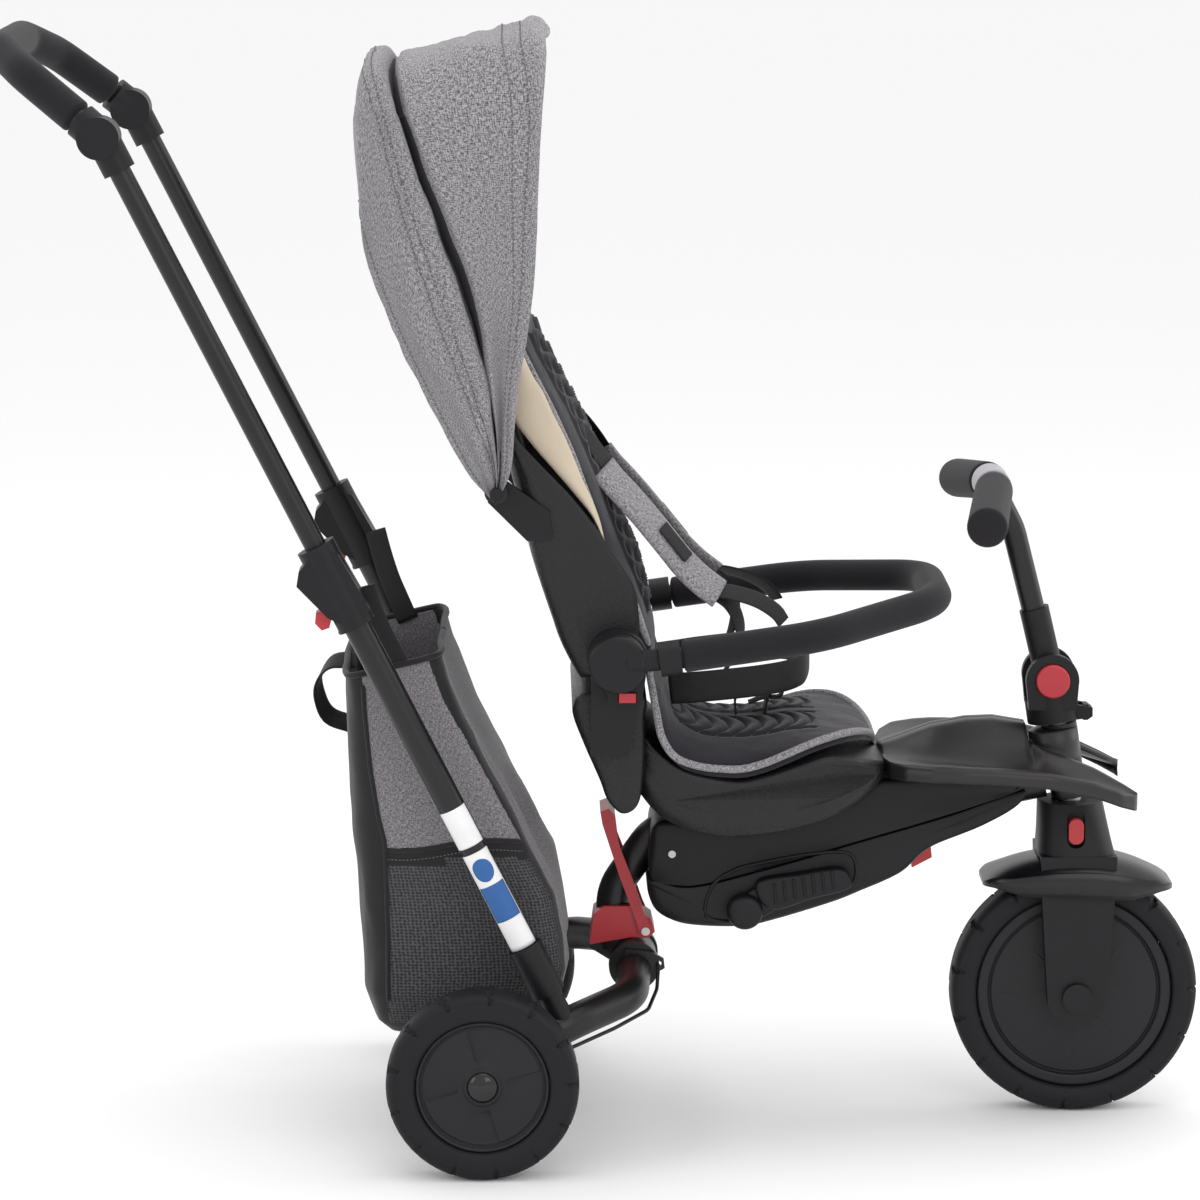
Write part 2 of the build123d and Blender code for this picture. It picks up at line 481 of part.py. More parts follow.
def pedals():
    """Each pedal is stored pushed into a well in the body's side."""
    for s, name in ((1, "left"), (-1, "right")):
        plate = side([(-300, 240), (-228, 254), (-217, 240), (-219, 231), (-290, 210)], *sorted((s * 60, s * 76)))
        plate = fillet(plate.edges().filter_by(Axis.Y), 4)
        knob = rod(17, -317, 210, s * 60, s * 79)
        link = side([(-317, 198), (-317, 222), (-290, 236), (-285, 214)], *sorted((s * 60, s * 70)))
        shaft = rod(6, -260, 232, s * 48, s * 62)
        add("pedal_" + name, plate + knob + link + shaft)


for build in (front_wheel, fork, steering_column, handlebar, main_frame, body_shells, footrest, seat,
              straps, safety_bar, backrest, canopy_and_harness, rear_frame, handle, rear_wheels,
              storage_bag, pedals):
    build()

os.makedirs("parts", exist_ok=True)
for name, shape in PARTS.items():
    export_step(shape.moved(Pos(-ORIGIN_X, 0, 0)), f"parts/{name}.step")
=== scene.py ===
import bpy
import math
import numpy as np
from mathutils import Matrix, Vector, noise


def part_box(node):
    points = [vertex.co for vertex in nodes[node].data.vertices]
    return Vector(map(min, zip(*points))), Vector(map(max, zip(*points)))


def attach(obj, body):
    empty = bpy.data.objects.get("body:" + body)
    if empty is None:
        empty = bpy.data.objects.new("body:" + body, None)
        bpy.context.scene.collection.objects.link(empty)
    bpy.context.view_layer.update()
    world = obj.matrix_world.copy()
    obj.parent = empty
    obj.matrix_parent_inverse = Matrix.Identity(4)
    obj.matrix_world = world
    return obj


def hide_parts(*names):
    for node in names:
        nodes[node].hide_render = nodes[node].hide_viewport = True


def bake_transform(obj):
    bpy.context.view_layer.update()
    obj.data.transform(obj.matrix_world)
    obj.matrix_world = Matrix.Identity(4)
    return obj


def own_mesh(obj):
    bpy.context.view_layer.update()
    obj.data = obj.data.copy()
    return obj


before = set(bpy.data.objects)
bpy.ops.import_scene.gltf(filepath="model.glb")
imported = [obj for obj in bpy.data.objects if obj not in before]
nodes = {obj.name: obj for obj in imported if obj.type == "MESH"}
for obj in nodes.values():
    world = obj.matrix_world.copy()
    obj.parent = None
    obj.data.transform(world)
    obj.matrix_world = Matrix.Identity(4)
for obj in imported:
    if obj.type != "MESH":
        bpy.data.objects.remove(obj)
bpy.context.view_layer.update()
MM = 0.001

# ---------------------------------------------------------------------------
# Studio. A pale matt floor that runs out of sight, a large soft box overhead,
# one from the camera's side and one from the front, and the camera.
FLOOR_REACH = 60.0
CAMERA_PLACE = (-0.07156, -4.45105, 1.28270)
CAMERA_TILT, CAMERA_PAN = math.radians(79.96), math.radians(-0.846)
scene = bpy.context.scene
scene.view_settings.view_transform = "Standard"


def new_mesh(name, points, faces, smooth=True):
    """An object with this mesh, linked to the scene."""
    mesh = bpy.data.meshes.new(name)
    mesh.from_pydata([tuple(p) for p in points], [], [tuple(f) for f in faces])
    mesh.update()
    if smooth:
        mesh.shade_smooth()
    piece = bpy.data.objects.new(name, mesh)
    scene.collection.objects.link(piece)
    return piece


def shader(name, colour, rough, **sockets):
    """A material whose shader holds these constants; returns it with its node tree and its shader."""
    mat = bpy.data.materials.new(name)
    mat.use_nodes = True
    tree = mat.node_tree
    body = tree.nodes["Principled BSDF"]
    body.inputs["Base Color"].default_value = (*colour, 1)
    body.inputs["Roughness"].default_value = rough
    for key, value in sockets.items():
        body.inputs[key.replace("_", " ").title().replace("Ior", "IOR")].default_value = value
    return mat, tree, body


corners = [(FLOOR_REACH * x, FLOOR_REACH * y, 0) for x, y in ((-1, -1), (1, -1), (1, 1), (-1, 1))]
floor = new_mesh("floor", corners, [(0, 1, 2, 3)])
floor.data.materials.append(shader("studio_floor", (0.93, 0.93, 0.93), 0.9)[0])

world = bpy.data.worlds.new("studio_air")
world.use_nodes = True
world.node_tree.nodes["Background"].inputs["Color"].default_value = (1, 1, 1, 1)
world.node_tree.nodes["Background"].inputs["Strength"].default_value = 1.0
scene.world = world


def soft_box(name, place, aim, size, power):
    """A rectangular lamp, size metres across, that faces its aim."""
    lamp = bpy.data.lights.new(name, "AREA")
    lamp.shape = "RECTANGLE"
    lamp.size, lamp.size_y = size
    lamp.energy = power
    box = bpy.data.objects.new(name, lamp)
    scene.collection.objects.link(box)
    box.location = place
    box.rotation_euler = (Vector(aim) - Vector(place)).to_track_quat("-Z", "Y").to_euler()


soft_box("overhead_box", (0.1, 0.2, 3.4), (0, 0, 0.4), (3.2, 2.6), 26)
soft_box("camera_side_box", (1.6, -3.4, 2.2), (0, 0, 0.5), (2.0, 1.8), 20)
soft_box("front_box", (3.2, 0.6, 1.6), (0, 0, 0.5), (1.6, 2.0), 22)
soft_box("rear_box", (-2.8, -1.8, 1.7), (0, 0, 0.5), (1.4, 1.8), 12)

lens = bpy.data.cameras.new("camera")
lens.sensor_width, lens.lens = 36, 144
camera = bpy.data.objects.new("camera", lens)
scene.collection.objects.link(camera)
camera.location = CAMERA_PLACE
camera.rotation_euler = (CAMERA_TILT, 0, CAMERA_PAN)
scene.camera = camera

# ---------------------------------------------------------------------------
# Steel tubes. Drawn steel, satin black powder coat with a faint orange peel;
# the frame, the handle, the safety bar's tube, the stem and the canopy's bow.


def add_node(tree, kind, **inputs):
    """A shader node with these input values; a key may be the socket's name or number."""
    node = tree.nodes.new(kind)
    for key, value in inputs.items():
        if hasattr(node, key) and key not in node.inputs:
            setattr(node, key, value)
        else:
            node.inputs[key].default_value = value
    return node


def grain_bump(tree, body, scale, height, detail=3.0, where="Object"):
    """Fine moulded or sprayed grain as bump."""
    place = add_node(tree, "ShaderNodeTexCoord")
    rough_noise = add_node(tree, "ShaderNodeTexNoise", Scale=scale, Detail=detail, Roughness=0.6)
    bump = add_node(tree, "ShaderNodeBump", Strength=1.0, Distance=height)
    tree.links.new(place.outputs[where], rough_noise.inputs["Vector"])
    tree.links.new(rough_noise.outputs["Fac"], bump.inputs["Height"])
    tree.links.new(bump.outputs["Normal"], body.inputs["Normal"])
    return place, rough_noise, bump


def ramp_of(tree, *stops):
    """A colour ramp between two (position, colour) stops."""
    ramp = add_node(tree, "ShaderNodeValToRGB")
    for element, (position, colour) in zip(ramp.color_ramp.elements, stops):
        element.position = position
        element.color = (*colour, 1)
    return ramp


def uneven(tree, body, colour, scale, spread, rough):
    """Slow drift of the colour and of the roughness over a piece, as on handled plastic."""
    place = add_node(tree, "ShaderNodeTexCoord")
    drift = add_node(tree, "ShaderNodeTexNoise", Scale=scale, Detail=4.0, Roughness=0.65)
    tree.links.new(place.outputs["Object"], drift.inputs["Vector"])
    ramp = ramp_of(tree, (0.3, [c * (1 - spread) for c in colour]), (0.7, [c * (1 + spread) for c in colour]))
    tree.links.new(drift.outputs["Fac"], ramp.inputs["Fac"])
    tree.links.new(ramp.outputs["Color"], body.inputs["Base Color"])
    sheen = add_node(tree, "ShaderNodeMapRange", **{"To Min": rough[0], "To Max": rough[1]})
    tree.links.new(drift.outputs["Fac"], sheen.inputs["Value"])
    tree.links.new(sheen.outputs["Result"], body.inputs["Roughness"])


def coat_of(name, colour, drift, rough, grain=None, spread=0.12, **sockets):
    """A finish whose colour and roughness drift over a piece; grain is (scale, height) of a fine bump."""
    mat, tree, body = shader(name, colour, sum(rough) / 2, **sockets)
    uneven(tree, body, colour, drift, spread, rough)
    if grain:
        grain_bump(tree, body, *grain)
    return mat


def dress(mat, *names):
    """Gives CAD nodes this material."""
    for name in names:
        for place in nodes[name].material_slots:
            place.material = mat


COAT = (0.0075, 0.0070, 0.0080)
powder_coat = coat_of("powder_coat", COAT, 9.0, (0.3, 0.42), (900.0, 0.00006), specular_ior_level=0.4)
dress(powder_coat, "main_frame", "rear_tubes", "lower_tubes", "upper_tubes", "handlebar_tube", "bar_tube",
      "canopy_front_bow")

# ---------------------------------------------------------------------------
# Moulded black plastic. Glass-filled nylon and polypropylene with a fine spark
# grain: body shells, footrest, fork, fender, hinge parts, hubs and brackets.
PLASTIC = (0.0070, 0.0066, 0.0082)
moulded = coat_of("moulded_black", PLASTIC, 14.0, (0.4, 0.52), (1500.0, 0.00008), specular_ior_level=0.28)
dress(moulded, "fork", "stem_yoke", "handlebar_hinge", "side_brackets", "tube_housings", "handle_knuckles",
      "crotch_buckle", "canopy_brackets", "head_bushes", "stem_latch", "bar_arms", "front_axle")

FOOT_PLASTIC = (0.0105, 0.0098, 0.0112)
satin_foot = coat_of("footrest_plastic", FOOT_PLASTIC, 10.0, (0.34, 0.44), (1300.0, 0.00006),
                     specular_ior_level=0.45)

# The seat's shells have a coarse leather-like spark grain that catches the light in specks.
SPECK = (0.0062, 0.0060, 0.0072)
speckled, tree, body = shader("speckled_black", SPECK, 0.4, specular_ior_level=0.4)
place, specks, bump = grain_bump(tree, body, 620.0, 0.00035, detail=2.0)
sparkle = add_node(tree, "ShaderNodeMapRange",
                   **{"From Min": 0.42, "From Max": 0.68, "To Min": 0.56, "To Max": 0.22})
tree.links.new(specks.outputs["Fac"], sparkle.inputs["Value"])
tree.links.new(sparkle.outputs["Result"], body.inputs["Roughness"])

# ---------------------------------------------------------------------------
# Red release parts. Satin acetal, coloured through: the fold lever and its
# collar, the buttons and triggers, the clutch slider and the steering tab.
RED = (0.43, 0.021, 0.030)
signal_red = coat_of("signal_red", RED, 22.0, (0.3, 0.42), (1200.0, 0.00005), spread=0.08)
dress(signal_red, "fold_button", "bar_button_left", "bar_button_right", "trigger_left", "trigger_right",
      "fold_lever", "latch_collar", "clutch_slider", "release_tab")

# ---------------------------------------------------------------------------
# Small metal. Zinc-plated pins, screws and axles, the silver clamp in the
# middle of the handlebar, and the vinyl jacket of the brake cable.
ZINC = (0.5, 0.49, 0.48)
zinc = coat_of("zinc_plate", ZINC, 60.0, (0.26, 0.42), metallic=1.0)
dress(zinc, "rear_axles", "steering_tube", "chassis_fasteners")

CLAMP_GREY = (0.42, 0.395, 0.43)
clamp_paint = coat_of("clamp_silver", CLAMP_GREY, 30.0, (0.34, 0.46), (1400.0, 0.00005), metallic=0.35)
dress(clamp_paint, "handlebar_clamp")

JACKET = (0.008, 0.008, 0.009)
jacket = coat_of("cable_vinyl", JACKET, 40.0, (0.28, 0.4))
dress(jacket, "brake_cable")

# ---------------------------------------------------------------------------
# Tyres. Moulded black EVA foam on each rim, with a flat side ring, a rounded
# shoulder and zigzag grooves cut across the tread.
TYRE_SLICES_PER_MM = 1.0
TYRE_BLACK = (0.0085, 0.0080, 0.0098)
tyre_foam = coat_of("tyre_foam", TYRE_BLACK, 18.0, (0.52, 0.68), (1100.0, 0.0001), specular_ior_level=0.25)


def ring_of(profile, centre, slices, dent=None):
    """Turns a closed (radius, y) profile about Y; dent(angle, radius, y) lowers a point's radius and y."""
    angle = np.arange(slices) * 2 * math.pi / slices
    radius = np.array([p[0] for p in profile], float)
    across = np.array([p[1] for p in profile], float)
    a, r = np.meshgrid(angle, radius, indexing="ij")
    y = np.broadcast_to(across, a.shape).copy()
    if dent is not None:
        dr, dy = dent(a, r, y)
        r, y = r - dr, y - dy
    points = np.stack([centre[0] + r * np.cos(a), centre[1] + y, centre[2] + r * np.sin(a)], -1)
    count = len(profile)
    faces = []
    for i in range(slices):
        j = (i + 1) % slices
        for k in range(count):
            n = (k + 1) % count
            faces.append((i * count + k, i * count + n, j * count + n, j * count + k))
    return points.reshape(-1, 3) * MM, faces


def outward(piece):
    """Turns every face of a closed piece outwards."""
    mesh = piece.data
    co = np.empty(len(mesh.vertices) * 3)
    mesh.vertices.foreach_get("co", co)
    co = co.reshape(-1, 3)
    mesh.calc_loop_triangles()
    tri = np.empty(len(mesh.loop_triangles) * 3, int)
    mesh.loop_triangles.foreach_get("vertices", tri)
    a, b, c = (co[tri.reshape(-1, 3)[:, k]] for k in range(3))
    if (a * np.cross(b, c)).sum() < 0:
        mesh.flip_normals()
    return piece


def refined(points, step):
    """The same outline with points no further apart than step."""
    out = []
    for p, q in zip(points, points[1:] + points[:1]):
        n = max(1, int(math.dist(p, q) / step))
        out += [(p[0] + (q[0] - p[0]) * k / n, p[1] + (q[1] - p[1]) * k / n) for k in range(n)]
    return out


def finished(piece, material, body_name, slot, *replaced, padded=False):
    """Material, body and the CAD nodes that this piece stands for; slot is not used."""
    piece.data.materials.append(material)
    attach(piece, body_name)
    if replaced:
        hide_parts(*replaced)
    return piece


def tyre(name, node, body_name, rim_radius, grooves):
    """A tyre the size of its CAD node; returns the wheel's centre."""
    low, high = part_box(node)
    centre = (low + high) / 2 / MM
    outer, half = (high.x - low.x) / 2 / MM, (high.y - low.y) / 2 / MM
    side = [(rim_radius, half - 4.5), (rim_radius + 1.2, half - 2.4), (rim_radius + 3, half - 1.2),
            (rim_radius + 8, half), (outer - 10, half), (outer - 8.4, half - 0.9), (outer - 7, half - 0.4),
            (outer - 4.6, half - 1.6), (outer - 2.2, half - 4), (outer - 0.8, half - 7.5), (outer, half - 12)]
    near = [(r, -y) for r, y in side]
    profile = refined(near + side[::-1], 1.7)
    pitch = 2 * math.pi / grooves

    def dent(a, r, y):
        reach = np.abs(y) / half
        zig = np.interp(reach, [0, 0.25, 0.5, 0.62, 0.8, 1], [0, 4.5, 0.5, 6.5, 1.5, 3.5])
        zig = zig * np.sign(y + 1e-9) + np.where(y > 0, outer * pitch / 2, 0)
        along = ((a * outer + zig) / (outer * pitch) + 0.5) % 1 - 0.5
        near_groove = np.clip(1 - np.abs(along * outer * pitch) / 2.9, 0, 1)
        tread = np.clip((r - outer + 9.5) / 3.0, 0, 1) * np.clip((reach - 0.12) / 0.1, 0, 1)
        deep = 3.6 * np.minimum(near_groove * 1.8, 1) * tread
        cheek = np.clip((r - outer + 14) / 3.0, 0, 1) * np.clip((np.abs(y) - half + 4) / 2.0, 0, 1)
        return deep, np.sign(y) * 1.7 * near_groove * cheek

    slices = int(2 * math.pi * outer * TYRE_SLICES_PER_MM)
    piece = outward(new_mesh(name, *ring_of(profile, centre, slices, dent)))
    finished(piece, tyre_foam, body_name, "tyre_foam", node)
    return centre


front_centre = tyre("front_tyre_foam", "front_tyre", "front_wheel", 93.4, 15)
rear_centres = {side: tyre(f"rear_tyre_foam_{side}", f"rear_tyre_{side}", f"rear_wheel_{side}", 61.4, 13)
                for side in ("left", "right")}

# ---------------------------------------------------------------------------
# Wheel discs. Satin black polypropylene in two halves: the front one nearly
# flat with a stepped rim, the rear ones with a fan of eight shallow sectors.
DISC_BLACK = (0.0115, 0.0108, 0.0130)
disc_plastic = coat_of("wheel_disc_plastic", DISC_BLACK, 16.0, (0.4, 0.54), (1300.0, 0.00009),
                       specular_ior_level=0.3)
FAN_SECTORS, FAN_TURN = 8, math.radians(29)


def fan(a, r, y):
    """Every other sector is a ramp that starts flush and ends in a step."""
    turn = ((a + FAN_TURN) / (2 * math.pi) * FAN_SECTORS) % 2
    inside = np.clip((r - 22) / 4, 0, 1) * np.clip((54.2 - r) / 1.0, 0, 1)
    ramp = np.where(turn < 1, 2.8 * turn, 0.25)
    return np.zeros_like(r), np.sign(y) * ramp * inside * (np.abs(y) > 6)


def spokes(a, r, y):
    """Thin raised mould lines, every 45 degrees."""
    across = np.abs(((a / (math.pi / 4)) + 0.5) % 1 - 0.5) * (math.pi / 4) * r
    line = np.clip(1 - across / 0.9, 0, 1) * np.clip((r - 26) / 4, 0, 1) * np.clip((79 - r) / 2, 0, 1)
    return np.zeros_like(r), -np.sign(y) * 0.5 * line * (np.abs(y) > 6)


def wheel_disc(name, node, body_name, half_profile, slices, dent, centre):
    """Both faces of a disc, from the (radius, y) outline of its outer one."""
    near = [(r, -y) for r, y in half_profile]
    profile = refined(near + half_profile[::-1], 1.6)
    piece = outward(new_mesh(name, *ring_of(profile, centre, slices, dent)))
    finished(piece, disc_plastic, body_name, "wheel_plastic", node)


FRONT_DISC = [(5.2, 23), (21.5, 23), (23.5, 21), (24.5, 18.6), (40, 16.8), (79.2, 14.2), (79.8, 12.6),
              (81.4, 12.6), (82.2, 16.2), (83.4, 17), (91.2, 17), (92.2, 16.2), (93.2, 14.5)]
REAR_DISC = [(6.2, 15.2), (17.2, 15.2), (17.6, 13.4), (20, 13.2), (24, 12.4), (54.5, 12.2), (55.2, 11.0),
             (56.6, 11.4), (57.6, 14.4), (59.2, 15.6), (60.4, 15.2), (61.2, 13.6)]
HUB_CAP = [(0.001, 21.3), (3, 21.1), (7, 20.4), (10.5, 19.1), (13, 17.3), (14.6, 15.2), (15.3, 13.6),
           (15.3, 11.5), (0.001, 11.5)]
wheel_disc("front_disc", "front_rim", "front_wheel", FRONT_DISC, 360, spokes, front_centre)
for side, centre in rear_centres.items():
    wheel = f"rear_wheel_{side}"
    wheel_disc(f"rear_disc_{side}", f"rear_rim_{side}", wheel, REAR_DISC, 400, fan, centre)
    gloss, tree, body = shader(f"hub_cap_gloss_{side}", (0.006, 0.006, 0.007), 0.09)
    grain_bump(tree, body, 90.0, 0.00003)
    out = 1 if side == "left" else -1
    cap_profile = refined([(r, y * out) for r, y in HUB_CAP], 1.2)
    cap = outward(new_mesh(f"hub_cap_{side}", *ring_of(cap_profile, centre, 96)))
    finished(cap, gloss, wheel, "wheel_plastic")

# ---------------------------------------------------------------------------
# Canopy. One sheet of heather-grey woven polyester, gathered at a pivot on each
# side, drawn over the front bow and the rear bow, with a deep pleat behind the
# front panel, a double-stitched bow casing and a hemmed skirt at the back.
HEATHER_LIGHT, HEATHER_DARK = (0.40, 0.385, 0.405), (0.085, 0.078, 0.088)


def heather(name, light, dark, thread=0.0006, spread=0.13 / 0.85):
    """Plain weave of light and dark yarns: slubs along the warp and the weft, and a woven bump."""
    mat, tree, body = shader(name, light, 0.86, sheen_weight=0.15, sheen_roughness=0.5)
    uv = add_node(tree, "ShaderNodeUVMap")
    yarns = []
    for stretch in ((1.0, 0.22), (0.22, 1.0)):
        turn = add_node(tree, "ShaderNodeMapping")
        turn.inputs["Scale"].default_value = (stretch[0] / thread, stretch[1] / thread, 1)
        slub = add_node(tree, "ShaderNodeTexNoise", Scale=0.8, Detail=1.5, Roughness=0.6)
        tree.links.new(uv.outputs["UV"], turn.inputs["Vector"])
        tree.links.new(turn.outputs["Vector"], slub.inputs["Vector"])
        yarns.append(slub)
    both = add_node(tree, "ShaderNodeMath", operation="ADD")
    tree.links.new(yarns[0].outputs["Fac"], both.inputs[0])
    tree.links.new(yarns[1].outputs["Fac"], both.inputs[1])
    tone = ramp_of(tree, ((1 - spread) / 2, dark), ((1 + spread) / 2, light))
    halve = add_node(tree, "ShaderNodeMath", operation="MULTIPLY")
    halve.inputs[1].default_value = 0.5
    tree.links.new(both.outputs[0], halve.inputs[0])
    tree.links.new(halve.outputs[0], tone.inputs["Fac"])
    tree.links.new(tone.outputs["Color"], body.inputs["Base Color"])
    weave = add_node(tree, "ShaderNodeTexChecker", Scale=1 / thread)
    tree.links.new(uv.outputs["UV"], weave.inputs["Vector"])
    raised = add_node(tree, "ShaderNodeMath", operation="ADD")
    tree.links.new(weave.outputs["Fac"], raised.inputs[0])
    tree.links.new(both.outputs[0], raised.inputs[1])
    bump = add_node(tree, "ShaderNodeBump", Strength=0.7, Distance=0.0002)
    tree.links.new(raised.outputs[0], bump.inputs["Height"])
    tree.links.new(bump.outputs["Normal"], body.inputs["Normal"])
    return mat


melange = heather("melange_weave", HEATHER_LIGHT, HEATHER_DARK)
# Dark lining cloth for the hood's inside. On the faces in the pleat it is also painted shade in the pleat's
# hollow.
lining_and_pleat_shade, tree, body = shader("dark_lining_and_pleat_shade", (0.030, 0.027, 0.032), 0.8, sheen_weight=0.1)
grain_bump(tree, body, 1400.0, 0.0002, where="UV")


def smooth_rows(rows, per_span):
    """Catmull-Rom through rows of points (an array of stations x points x 3)."""
    rows = np.asarray(rows, float)
    ends = np.concatenate([2 * rows[:1] - rows[1:2], rows, 2 * rows[-1:] - rows[-2:-1]])
    out = []
    for k in range(len(rows) - 1):
        a, b, c, d = ends[k:k + 4]
        for t in np.arange(per_span) / per_span:
            out.append(0.5 * (2 * b + (c - a) * t + (2 * a - 5 * b + 4 * c - d) * t * t
                              + (3 * b - a - 3 * c + d) * t ** 3))
    out.append(rows[-1])
    return np.array(out)


def skin(name, grid, close_across=False, caps=False):
    """A quad skin over a grid of points, with a UV map in metres along and across it."""
    grid = np.asarray(grid, float)
    n, m = grid.shape[:2]
    faces, cells = [], []
    for i in range(n - 1):
        for k in range(m if close_across else m - 1):
            right = (k + 1) % m
            faces.append((i * m + k, i * m + right, (i + 1) * m + right, (i + 1) * m + k))
            cells.append(((i, k), (i, k + 1), (i + 1, k + 1), (i + 1, k)))
    if caps:
        faces += [tuple(range(m))[::-1], tuple((n - 1) * m + k for k in range(m))]
        cells += [tuple((0, k) for k in range(m))[::-1], tuple((n - 1, k) for k in range(m))]
    piece = new_mesh(name, grid.reshape(-1, 3) * MM, faces)
    wrapped = np.concatenate([grid, grid[:, :1]], 1) if close_across else grid
    across = np.linalg.norm(np.diff(wrapped, axis=1), axis=2)
    along = np.linalg.norm(np.diff(wrapped, axis=0), axis=2)
    u = np.concatenate([[0], np.cumsum(across.mean(0))]) * MM
    v = np.concatenate([[0], np.cumsum(along.mean(1))]) * MM
    layer = piece.data.uv_layers.new(name="cloth")
    flat = [(u[k], v[i]) for cell in cells for i, k in cell]
    layer.data.foreach_set("uv", np.array(flat, float).ravel())
    return piece


def settle(piece):
    """Applies a piece's modifiers to its mesh."""
    bpy.context.view_layer.update()
    solid = bpy.data.meshes.new_from_object(piece.evaluated_get(bpy.context.evaluated_depsgraph_get()))
    piece.modifiers.clear()
    piece.data = solid
    return piece


def with_thickness(piece, thickness, inner=0, rim=0):
    """Gives a cloth skin its thickness, inwards, with its own material inside."""
    wall = piece.modifiers.new("thickness", "SOLIDIFY")
    wall.thickness = thickness * MM
    wall.offset = -1
    wall.material_offset = inner
    wall.material_offset_rim = rim
    return settle(piece)


# Lines of the hood from its front hem to its back one: x at each of five heights above the pivot,
# x and z at the top, and how far the cloth lies inside the hood's side.
HOOD_SIDE, PIVOT_FOOT = 150.0, 608.0
LEVELS, SKIRT_LEVELS = (642, 708, 795, 885, 955), (642, 708, 770)
PINCH = (2, 0, -1, 0, 3)
HOOD_LINES = {
    "hem_in":   ((-90, -86, -76, -70, -68), -70, 1024, 7.0),
    "edge":     ((-88, -83, -68, -63, -60), -55, 1029, 1.5),
    "bump":     ((-90, -86, -73, -68, -65), -66, 1039, -2.5),
    "stitch":   ((-93, -90, -80, -75, -71), -79, 1034, 1.2),
    "panel_a":  ((-96, -94, -86, -86, -86), -95, 1029, 1.0),
    "panel_b":  ((-98, -97, -95, -105, -112), -124, 1023, 5.5),
    "panel_c":  ((-99, -100, -105, -126, -145), -157, 1014, 5.0),
    "edge_in":  ((-100, -103, -114, -146, -173), -184, 1008, 1.0),
    "lip":      ((-100, -106, -119, -151, -178), -191, 1004, 3.0),
    "pleat":    ((-101, -108, -130, -168, -190), -194, 985, 30.0),
    "back_lip": ((-101, -109, -131, -164, -186), -198, 1000, 4.0),
    "casing":   ((-102, -113, -140, -172, -193), -206, 1009, -1.5),
    "seam_1":   ((-103, -121, -151, -181, -200), -214, 1008, 3.0),
    "between":  ((-104, -125, -156, -185, -203), -217, 1008, 0.5),
    "seam_2":   ((-105, -129, -161, -189, -206), -219, 1003, 3.4),
    "skirt_a":  ((-110, -137, -170, -197, -213), -225, 985, -1.0),
    "crease":   ((-116, -145, -177, -203, -219), -229, 955, 2.0),
    "skirt_b":  ((-121, -152, -183, -208, -222), -228, 915, -1.0),
    "hem_seam": ((-126, -160, -189, -212, -221), -224, 878, 1.6),
    "hem":      ((-131, -166, -195, -215, -221), -222, 862, 0.5),
    "hem_back": ((-127, -161, -189, -209, -215), -216, 868, 7.0),
}


def hood_station(levels, x_top, z_top, inset):
    """One line from the near pivot over the top to the far pivot."""
    skirt = max(0.0, 985 - z_top)
    half = HOOD_SIDE - inset
    near = [(-103, half - 8 + 0.45 * inset, PIVOT_FOOT)]
    heights = LEVELS
    shoulder = [(x_top * 0.35 + levels[-1] * 0.65, half - 11, z_top - 37), (x_top, half - 44, z_top - 6)]
    if skirt > 20:
        heights = [*SKIRT_LEVELS, *(770 + (z_top - 770) * share for share in (0.55, 0.85))]
        shoulder = [(x_top + 1, half - 26, z_top - 1), (x_top - 2, half - 78, z_top)]
    near += [(x, half - p, z) for x, z, p in zip(levels, heights, PINCH)] + shoulder
    return [(x, -y, z) for x, y, z in near] + [(x_top, 0, z_top)] + near[::-1]


hood_names = list(HOOD_LINES)
PER_ARCH, PER_STATION = 9, 6
arches = [smooth_rows(hood_station(*row), PER_ARCH) for row in HOOD_LINES.values()]
hood_grid = smooth_rows(arches, PER_STATION)


def crumpled(grid, size, reach, seed, along=1.0, across=1.0, mask=None, dents=1.0):
    """Shallow wrinkles: smooth noise moves points along the skin's normal, inwards only by dents of it."""
    normal = np.cross(np.gradient(grid, axis=1), np.gradient(grid, axis=0))
    normal /= np.maximum(np.linalg.norm(normal, axis=2, keepdims=True), 1e-9)
    spots = grid * (across / size, 1 / size, along / size) + (seed, 0, 0)
    move = np.array([[noise.fractal(Vector(spot), 1.0, 2.0, 3) for spot in row] for row in spots])
    if mask is not None:
        move = move * mask
    move = np.where(move < 0, move * dents, move)
    return grid + normal * (move * reach)[..., None]


HOOD_PRESSINGS = 5
for _ in range(HOOD_PRESSINGS):
    hood_grid[1:-1] = (hood_grid[:-2] + 2 * hood_grid[1:-1] + hood_grid[2:]) / 4
    hood_grid[:, 1:-1] = (hood_grid[:, :-2] + 2 * hood_grid[:, 1:-1] + hood_grid[:, 2:]) / 4
fade = np.clip((hood_grid[..., 2] - 620) / 60, 0, 1)
hood_grid = crumpled(hood_grid, 60.0, 5.0, 3.0, along=0.28, across=2.4, mask=fade, dents=0.05)
hood_grid = crumpled(hood_grid, 24.0, 1.6, 8.0, along=0.35, across=1.8, mask=fade, dents=0.05)
hood = skin("canopy_hood_cloth", hood_grid)
hood.data.materials.append(melange)
hood.data.materials.append(lining_and_pleat_shade)
pleat_at = hood_names.index("pleat") * PER_STATION
width = hood_grid.shape[1] - 1
# Faces in and around the pleat get the dark lining colour. This is partly the lining showing there and partly
# painted shade in the pleat.
for face in hood.data.polygons:
    if abs(face.index // width - pleat_at) < PER_STATION:
        face.material_index = 1
with_thickness(hood, 1.3, inner=1)


def finish_hood_piece(piece):
    """Bakes a piece of hood cloth's transform into its mesh; the cloth, which turns with the backrest at its
    back and with the front bow at its front, is attached to neither.
    """
    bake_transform(piece)


finish_hood_piece(hood)
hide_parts("canopy_hood")

# Seam threads on the hood: Geometry Nodes sets one thread after another along each seam.
SEAM_TINT = (0.13, 0.125, 0.135)
seam_thread, tree, body = shader("seam_thread", SEAM_TINT, 0.7)
grain_bump(tree, body, 2500.0, 0.0001)


